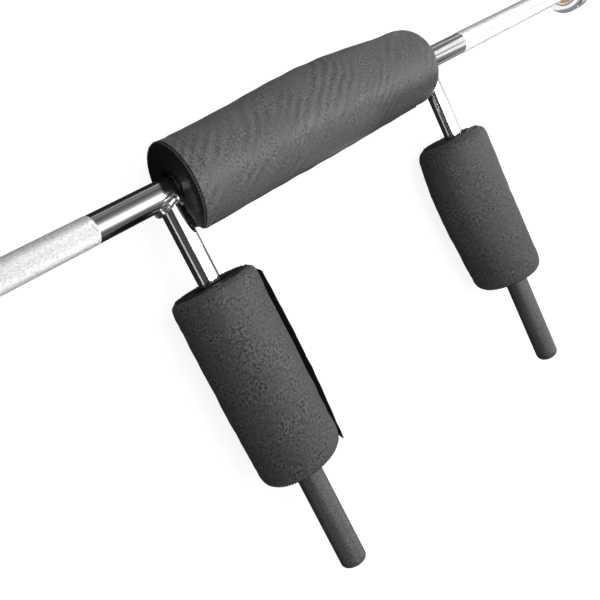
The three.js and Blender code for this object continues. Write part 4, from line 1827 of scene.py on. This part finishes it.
@dataclass
class Arm:
    """One arm that comes forward from the bar: tube, weld, end plug and hand grip."""

    side: Side
    reach: float
    pad_end: float
    tube_start: float = 9.0
    tip_depth: float = 8.6
    tip_wall: float = 5.0
    tube_bore: float = 9.5
    grip_radius: float = 15.5
    grip_bore: float = 12.8
    grip_rounding: float = 8.0
    grip_entry: float = 7.5
    weld_ripples: int = 9
    weld_offset: float = 0.9
    weld_spread: float = 1.05

    @property
    def place(self) -> Matrix:
        """The matrix from the arm's millimetres to the frame."""
        return Workshop.placement(self.side.sign * ARM_SPACING / 2, -math.pi / 2)

    def weld_path(self) -> np.ndarray:
        """The seam where the tube meets the bar.

        Returns:
            Its points in metres.
        """
        around = np.arange(ROUND_SIDES) * FULL_TURN / ROUND_SIDES
        y, z = TUBE_RADIUS * np.cos(around), TUBE_RADIUS * np.sin(around)
        x = np.sqrt(SHAFT_RADIUS ** 2 - z ** 2) + self.weld_offset
        return Workshop.placed(np.stack([x, y * self.weld_spread, z * self.weld_spread], 1), self.place)

    def grip_outline(self) -> Outline:
        """The hand grip's outline, open towards the pad and rounded at its tip.

        Returns:
            Points as (distance, radius).
        """
        start = self.pad_end - self.grip_entry
        outline = [
            (self.reach - self.tip_wall, 0.0), (self.reach - self.tip_wall, self.grip_bore),
            (start, self.grip_bore),
            (start, self.grip_radius - 1.0), (start + 0.3, self.grip_radius - 0.3),
            (start + 1.0, self.grip_radius),
        ]
        straight = self.reach - self.grip_rounding
        outline += [(float(x), self.grip_radius) for x in np.linspace(start + 4, straight, 24)]
        for k in range(1, 11):
            turn = math.pi / 2 * k / 10
            outline.append((straight + self.grip_rounding * math.sin(turn),
                            self.grip_radius - self.grip_rounding * (1 - math.cos(turn))))
        outline.append((self.reach, 0.0))
        return outline

    def build(self, shop: Workshop, trees: GrowthTrees) -> None:
        """Build and dress the arm.

        Args:
            shop: The workshop.
            trees: The geometry trees.
        """
        name = self.side.value
        tube_end = self.reach - self.tip_depth
        tube = shop.turned(f"{name}_arm_tube_drawn", [
            (self.tube_start, self.tube_bore), (self.tube_start, TUBE_RADIUS),
            (tube_end, TUBE_RADIUS), (tube_end, self.tube_bore)], self.place)
        shop.hand_over(tube, CHROME, "bar", f"{name}_arm_tube")
        shop.grow(f"{name}_weld_bead", trees.weld, {
            "Ripples": self.weld_ripples, "Root": 0.0042, "Ripple": 0.0054,
            "Seed": 3 + self.side.sign}, WELD_METAL_SHADED, f"{name}_arm_weld", self.weld_path(), closed=True)
        grip = shop.turned(f"{name}_foam_grip", self.grip_outline(), self.place)
        shop.hand_over(grip, GRIP_FOAM, "bar", f"{name}_hand_grip")
        shop.dress_node(f"{name}_arm_end_plug", CAP_PLASTIC)


@dataclass
class Pad:
    """One pad: its foam roll, sewn cover and closure flap."""

    shape: PadShape
    place: Matrix
    flap: ClosureFlap
    cloth: WovenFinish = COVER_CLOTH
    dents: tuple[Dent, ...] = ()
    seed: int = 11

    def build(self, shop: Workshop, trees: GrowthTrees) -> None:
        """Build and dress the pad.

        Args:
            shop: The workshop.
            trees: The geometry trees.
        """
        FoamRoll(self.shape, self.place).build(shop)
        cover = PadCover(self.shape, self.place, self.dents, self.cloth, seed=self.seed)
        self.flap.build(shop, trees, cover.build(shop, trees))


def neck_pad() -> Pad:
    """The long pad on the bar, fuller on its rear side and gaping where it meets the left arm.

    Returns:
        The pad.
    """
    start = TUBE_RADIUS + 1.8 - ARM_SPACING / 2
    shape = PadShape(
        "neck_pad", length=426.7, core_radius=SHAFT_RADIUS, mouth_radius=19.6, mouth_lift=2.2,
        middle_radius=51.5, crown=0.7, start_lateral=-1.0, end_lateral=2.0, belly=8.5,
        belly_degrees=0.0, peak_share=0.57, swell_power=2.0, slit_degrees=187.0,
        start_lean_up=-9.3, start_rounding=4.5, end_rounding=10.0, start_opening=18.0, lip_rise=4.5,
        start_turned=True)
    place = Workshop.placement(start)
    flap = ClosureFlap(shape, place, 184.0, 216.0, 16.0, 16.0)
    return Pad(shape, place, flap, NECK_CLOTH_PAINTED_LIGHT, (Dent(4.0, 76.0, 1.4, 6.0, 3.0),), seed=11)


def arm_pad(side: Side) -> Pad:
    """The pad on one arm. The left one's tape stands off, and the right one is fuller.

    Args:
        side: Which arm.

    Returns:
        The pad.
    """
    shape = partial(PadShape, f"{side.value}_arm_pad", core_radius=TUBE_RADIUS, mouth_radius=17.2,
                    mouth_lift=1.2, belly_degrees=200.0, swell_power=1.0, slit_degrees=12.0)
    if side is Side.LEFT:
        start = 106.0
        shape = shape(length=219.7, middle_radius=50.4, crown=0.8, start_lateral=1.7, end_lateral=1.7,
                      belly=0.0, peak_share=0.5, start_lean_up=-2.4, end_lean_lateral=-5.2,
                      start_rounding=7.0)
    else:
        start = 111.4
        shape = shape(length=219.2, middle_radius=49.0, crown=0.5, start_lateral=-5.4, end_lateral=-5.4,
                      belly=11.0, peak_share=0.38, start_rounding=9.0, end_rounding=12.0)
    along = Matrix.Translation((0, -start * MM, 0))
    place = along @ Workshop.placement(side.sign * ARM_SPACING / 2, -math.pi / 2)
    if side is Side.LEFT:
        flap = ClosureFlap(shape, place, -34.0, 4.0, 3.0, 0.8, start_tail=20.0, end_tail=15.0,
                           tail_bulge=7.0, start_lag=9.0, end_lag=12.0)
        dents = (Dent(5.0, 104.0, 1.6, 8.0, 3.2), Dent(96.0, 66.0, 0.5, 7.0, 3.0))
        return Pad(shape, place, flap, dents=dents, seed=23)
    flap = ClosureFlap(shape, place, -34.0, 36.0, 8.0, 8.0)
    return Pad(shape, place, flap, dents=(Dent(207.0, 115.0, 1.6, 4.0, 7.0),), seed=37)


# Studio


@dataclass
class Studio:
    """Floor, lamps, reflection cards and the camera at the photograph's view."""

    camera_place: Point = (-0.6718, 0.0117, 0.7499)
    image_right: Point = (0.65498, -0.43495, 0.61792)
    image_up: Point = (0.46597, 0.87623, 0.12284)
    lens: float = 47.44
    sensor: float = 36.0
    floor_size: float = 40.0
    box_level: float = 3.8
    core_level: float = 19.0
    grip_level: float = 1.8
    key_power: float = 3.0
    floor_tone: float = 0.38
    floor_glow: float = 0.9
    left_side: Span = (-0.62, 0.0)
    fill: Span = (0.0, 0.73)

    def build_camera(self) -> None:
        """Put the camera where the photograph was taken from."""
        data = bpy.data.cameras.new("camera")
        data.lens, data.sensor_width = self.lens, self.sensor
        data.clip_start, data.clip_end = 0.02, 100.0
        made = new_object("camera", data)
        right, up = Vector(self.image_right).normalized(), Vector(self.image_up)
        up = (up - right * up.dot(right)).normalized()
        back = right.cross(up)
        turned = Matrix((right, up, back)).transposed().to_4x4()
        made.matrix_world = Matrix.Translation(self.camera_place) @ turned
        bpy.context.scene.camera = made
        log.info("camera set")

    @staticmethod
    def lamp(name: str, place: Point, aim: Point, size: Span, power: float) -> None:
        """Add a soft lamp that lights the object but doesn't show in its metal.

        Args:
            name: The lamp's name.
            place: Where it stands.
            aim: The point that it faces.
            size: Its width and height in metres.
            power: Its power in watts.
        """
        data = bpy.data.lights.new(name, "AREA")
        data.shape = "RECTANGLE"
        data.size, data.size_y = size
        data.energy = power
        made = new_object(name, data)
        made.location = place
        made.rotation_euler = (Vector(aim) - Vector(place)).to_track_quat("-Z", "Y").to_euler()
        made.visible_glossy = False
        made.visible_camera = False

    @staticmethod
    def sheet(name: str, corners: Sequence[Point], finish: bpy.types.Material) -> Piece:
        """Make a flat sheet with four corners.

        Args:
            name: Its name.
            corners: Its corners, in order.
            finish: Its material.

        Returns:
            The sheet.
        """
        data = bpy.data.meshes.new(name)
        data.from_pydata(corners, [], [(0, 1, 2, 3)])
        data.materials.append(finish)
        return new_object(name, data)

    def card(self, name: str, corners: Sequence[Point], level: float,
             fade: Optional[tuple[Point, Point, Point]] = None) -> None:
        """Add a card that only the metal's reflections see.

        Args:
            name: The card's name.
            corners: Its four corners.
            level: How bright it is, where 1 is white.
            fade: The middle and half size of its even part, and over what length it fades by e beyond.
        """
        finish = bpy.data.materials.new(name)
        finish.use_nodes = True
        sketch = TreeSketch(finish.node_tree)
        finish.node_tree.nodes.remove(finish.node_tree.nodes["Principled BSDF"])
        glow = sketch.node("ShaderNodeEmission", {"Color": (1.0, 1.0, 1.0), "Strength": level})
        sketch.put(finish.node_tree.nodes["Material Output"].inputs["Surface"], glow.outputs[0])
        if fade is not None:
            middle, half, run = fade
            place = sketch.node("ShaderNodeTexCoord").outputs["Object"]
            away = sketch.vector("ABSOLUTE", sketch.vector("SUBTRACT", place, middle))
            beyond = sketch.vector("MAXIMUM", sketch.vector("SUBTRACT", away, half), (0.0, 0.0, 0.0))
            parts = sketch.axes(sketch.vector("DIVIDE", beyond, run))
            share = sketch.math("EXPONENT", sketch.product(sketch.total(parts["X"], parts["Y"]), -1.0))
            sketch.put(glow.inputs["Strength"], sketch.total(sketch.product(share, level), 0.1))
        made = self.sheet(name, corners, finish)
        for kind in ("camera", "diffuse", "shadow", "transmission", "volume_scatter"):
            setattr(made, f"visible_{kind}", False)

    def build_floor(self) -> None:
        """Lay the plain pale floor, which keeps the object's shadow."""
        half = self.floor_size / 2
        corners = [(-half, -half, 0), (half, -half, 0), (half, half, 0), (-half, half, 0)]
        finish = bpy.data.materials.new("pale_floor")
        finish.use_nodes = True
        sketch = TreeSketch(finish.node_tree)
        shader = finish.node_tree.nodes["Principled BSDF"]
        shader.inputs["Base Color"].default_value = (self.floor_tone,) * 3 + (1.0,)
        shader.inputs["Roughness"].default_value = 0.9
        shader.inputs["Specular IOR Level"].default_value = 0.0
        shader.inputs["Emission Color"].default_value = (1.0, 1.0, 1.0, 1.0)
        sketch.put(shader.inputs["Emission Strength"],
                   sketch.product(self.seen(sketch), self.floor_glow))
        floor = self.sheet("floor", corners, finish)

    @staticmethod
    def seen(sketch: TreeSketch) -> Socket:
        """A mask that is 1 for what the camera sees, also through glass and in metal.

        Args:
            sketch: The tree to draw it in.

        Returns:
            The mask's socket.
        """
        rays = sketch.node("ShaderNodeLightPath").outputs
        mirrored = sketch.total(rays["Is Glossy Ray"], rays["Is Transmission Ray"])
        return sketch.math("MINIMUM", sketch.total(rays["Is Camera Ray"], mirrored), 1.0)

    def build_world(self) -> None:
        """Set a white surrounding whose light is weaker from the left."""
        world = bpy.data.worlds.new("surround")
        bpy.context.scene.world = world
        world.use_nodes = True
        sketch = TreeSketch(world.node_tree)
        back = world.node_tree.nodes["Background"]
        back.inputs["Color"].default_value = (1.0, 1.0, 1.0, 1.0)
        heading = sketch.node("ShaderNodeTexCoord").outputs["Generated"]
        light = sketch.remap(sketch.axes(heading)["X"], *self.left_side, *self.fill)
        shown = self.seen(sketch)
        kept = sketch.product(light, sketch.math("SUBTRACT", 1.0, shown))
        sketch.put(back.inputs["Strength"], sketch.total(kept, shown))

    def build(self) -> None:
        """Build the whole studio."""
        self.build_floor()
        self.build_world()
        self.lamp("overhead", (0.0, 0.0, 1.5), (0.0, 0.0, 0.0), (1.0, 1.0), self.key_power)
        self.build_cards()
        view = bpy.context.scene.view_settings
        view.view_transform = "Standard"
        log.info("studio set")

    @staticmethod
    def level_corners(x: Span, y: Span, z: float) -> list[Point]:
        """The corners of a level sheet over a range of X and Y."""
        return [(x[0], y[0], z), (x[1], y[0], z), (x[1], y[1], z), (x[0], y[1], z)]

    def build_cards(self) -> None:
        """Stand the cards that shape the reflections in the chrome."""
        wide, tall, high, low = 6.0, 4.0, 0.74, 0.003
        self.card("overhead_box", self.level_corners((-0.75, 0.95), (-1.3, 0.95), 0.75), self.box_level,
                  ((0.2, -0.19, 0.75), (0.75, 0.06, 1.0), (0.03, 0.14, 1.0)))
        for name, level, x, y, z in (
                ("overhead_core", self.core_level, (-0.5, 0.9), (-0.25, -0.13), high),
                ("left_grip_box", self.grip_level, (-0.6, -0.06), (-0.95, -0.6), high),
                ("right_grip_box", self.grip_level, (0.33, 1.0), (-0.95, -0.6), high),
                ("dark_ground", 0.02, (-1.0, 0.3), (-wide, wide), 0.001),
                ("left_glint", 0.8, (-0.72, -0.45), (-0.6, 0.2), low),
                ("middle_glint", 0.6, (0.05, 0.14), (-0.45, -0.06), low),
                ("right_floor", 0.3, (0.34, 1.0), (-0.6, -0.03), low)):
            self.card(name, self.level_corners(x, y, z), level)
        self.card("right_ground", [(0.33, 0.03, low), (1.0, 0.03, low), (1.0, 0.6, low),
                                   (0.45, 0.6, low)], 0.18)
        for name, level, x, y, z in (
                ("right_box", 1.0, 1.02, (-0.65, 0.62), (0.0, 0.8)),
                ("right_slat", 0.25, 1.0, (-0.11, 0.0), (0.42, 0.8)),
                ("right_shade", 0.2, 1.01, (-0.65, -0.32), (0.0, 0.62)),
                ("right_gap", 0.02, 1.0, (-0.65, -0.45), (0.0, 0.16)),
                ("right_edge", 0.17, 1.0, (0.3, 0.62), (0.06, 0.62)),
                ("left_flag", 0.07, -5.0, (-5, 5), (0.0, tall)),
                ("right_flag", 0.9, 5.0, (-5, 5), (0.0, tall))):
            self.card(name, [(x, y[0], z[0]), (x, y[1], z[0]), (x, y[1], z[1]), (x, y[0], z[1])], level)
        for name, level, near, far in (
                ("rear_glint", 0.2, (4.9, 0.0), (4.9, 3.2)),
                ("rear_flag", 0.1, (5.0, 0.0), (5.0, tall)),
                ("front_flag", 0.05, (-5.0, 0.0), (-5.0, tall)),
                ("front_glint", 0.14, (-4.8, 0.2), (-4.8, 2.4)),
                ("rear_roof", 0.12, (0.0, tall), (5.0, tall)),
                ("front_roof", 0.04, (-5.0, tall), (0.0, tall))):
            self.card(name, [(-5.0, *near), (5.0, *near), (5.0, *far), (-5.0, *far)], level)


def main() -> None:
    """Build the studio and every sub-assembly in order."""
    logging.basicConfig(level=logging.INFO, format="%(name)s: %(message)s", force=True)
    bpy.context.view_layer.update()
    studio = Studio()
    studio.build_camera()
    shop, trees = Workshop(), GrowthTrees()
    studio.build()
    BarShaft().build(shop, trees)
    Arm(Side.LEFT, reach=463.0, pad_end=325.7, grip_rounding=5.0).build(shop, trees)
    Arm(Side.RIGHT, reach=469.0, pad_end=330.6, grip_rounding=10.0).build(shop, trees)
    for side in Side:
        PlateSleeve(side).build(shop)
        arm_pad(side).build(shop, trees)
    neck_pad().build(shop, trees)


if __name__ == "__main__":
    main()
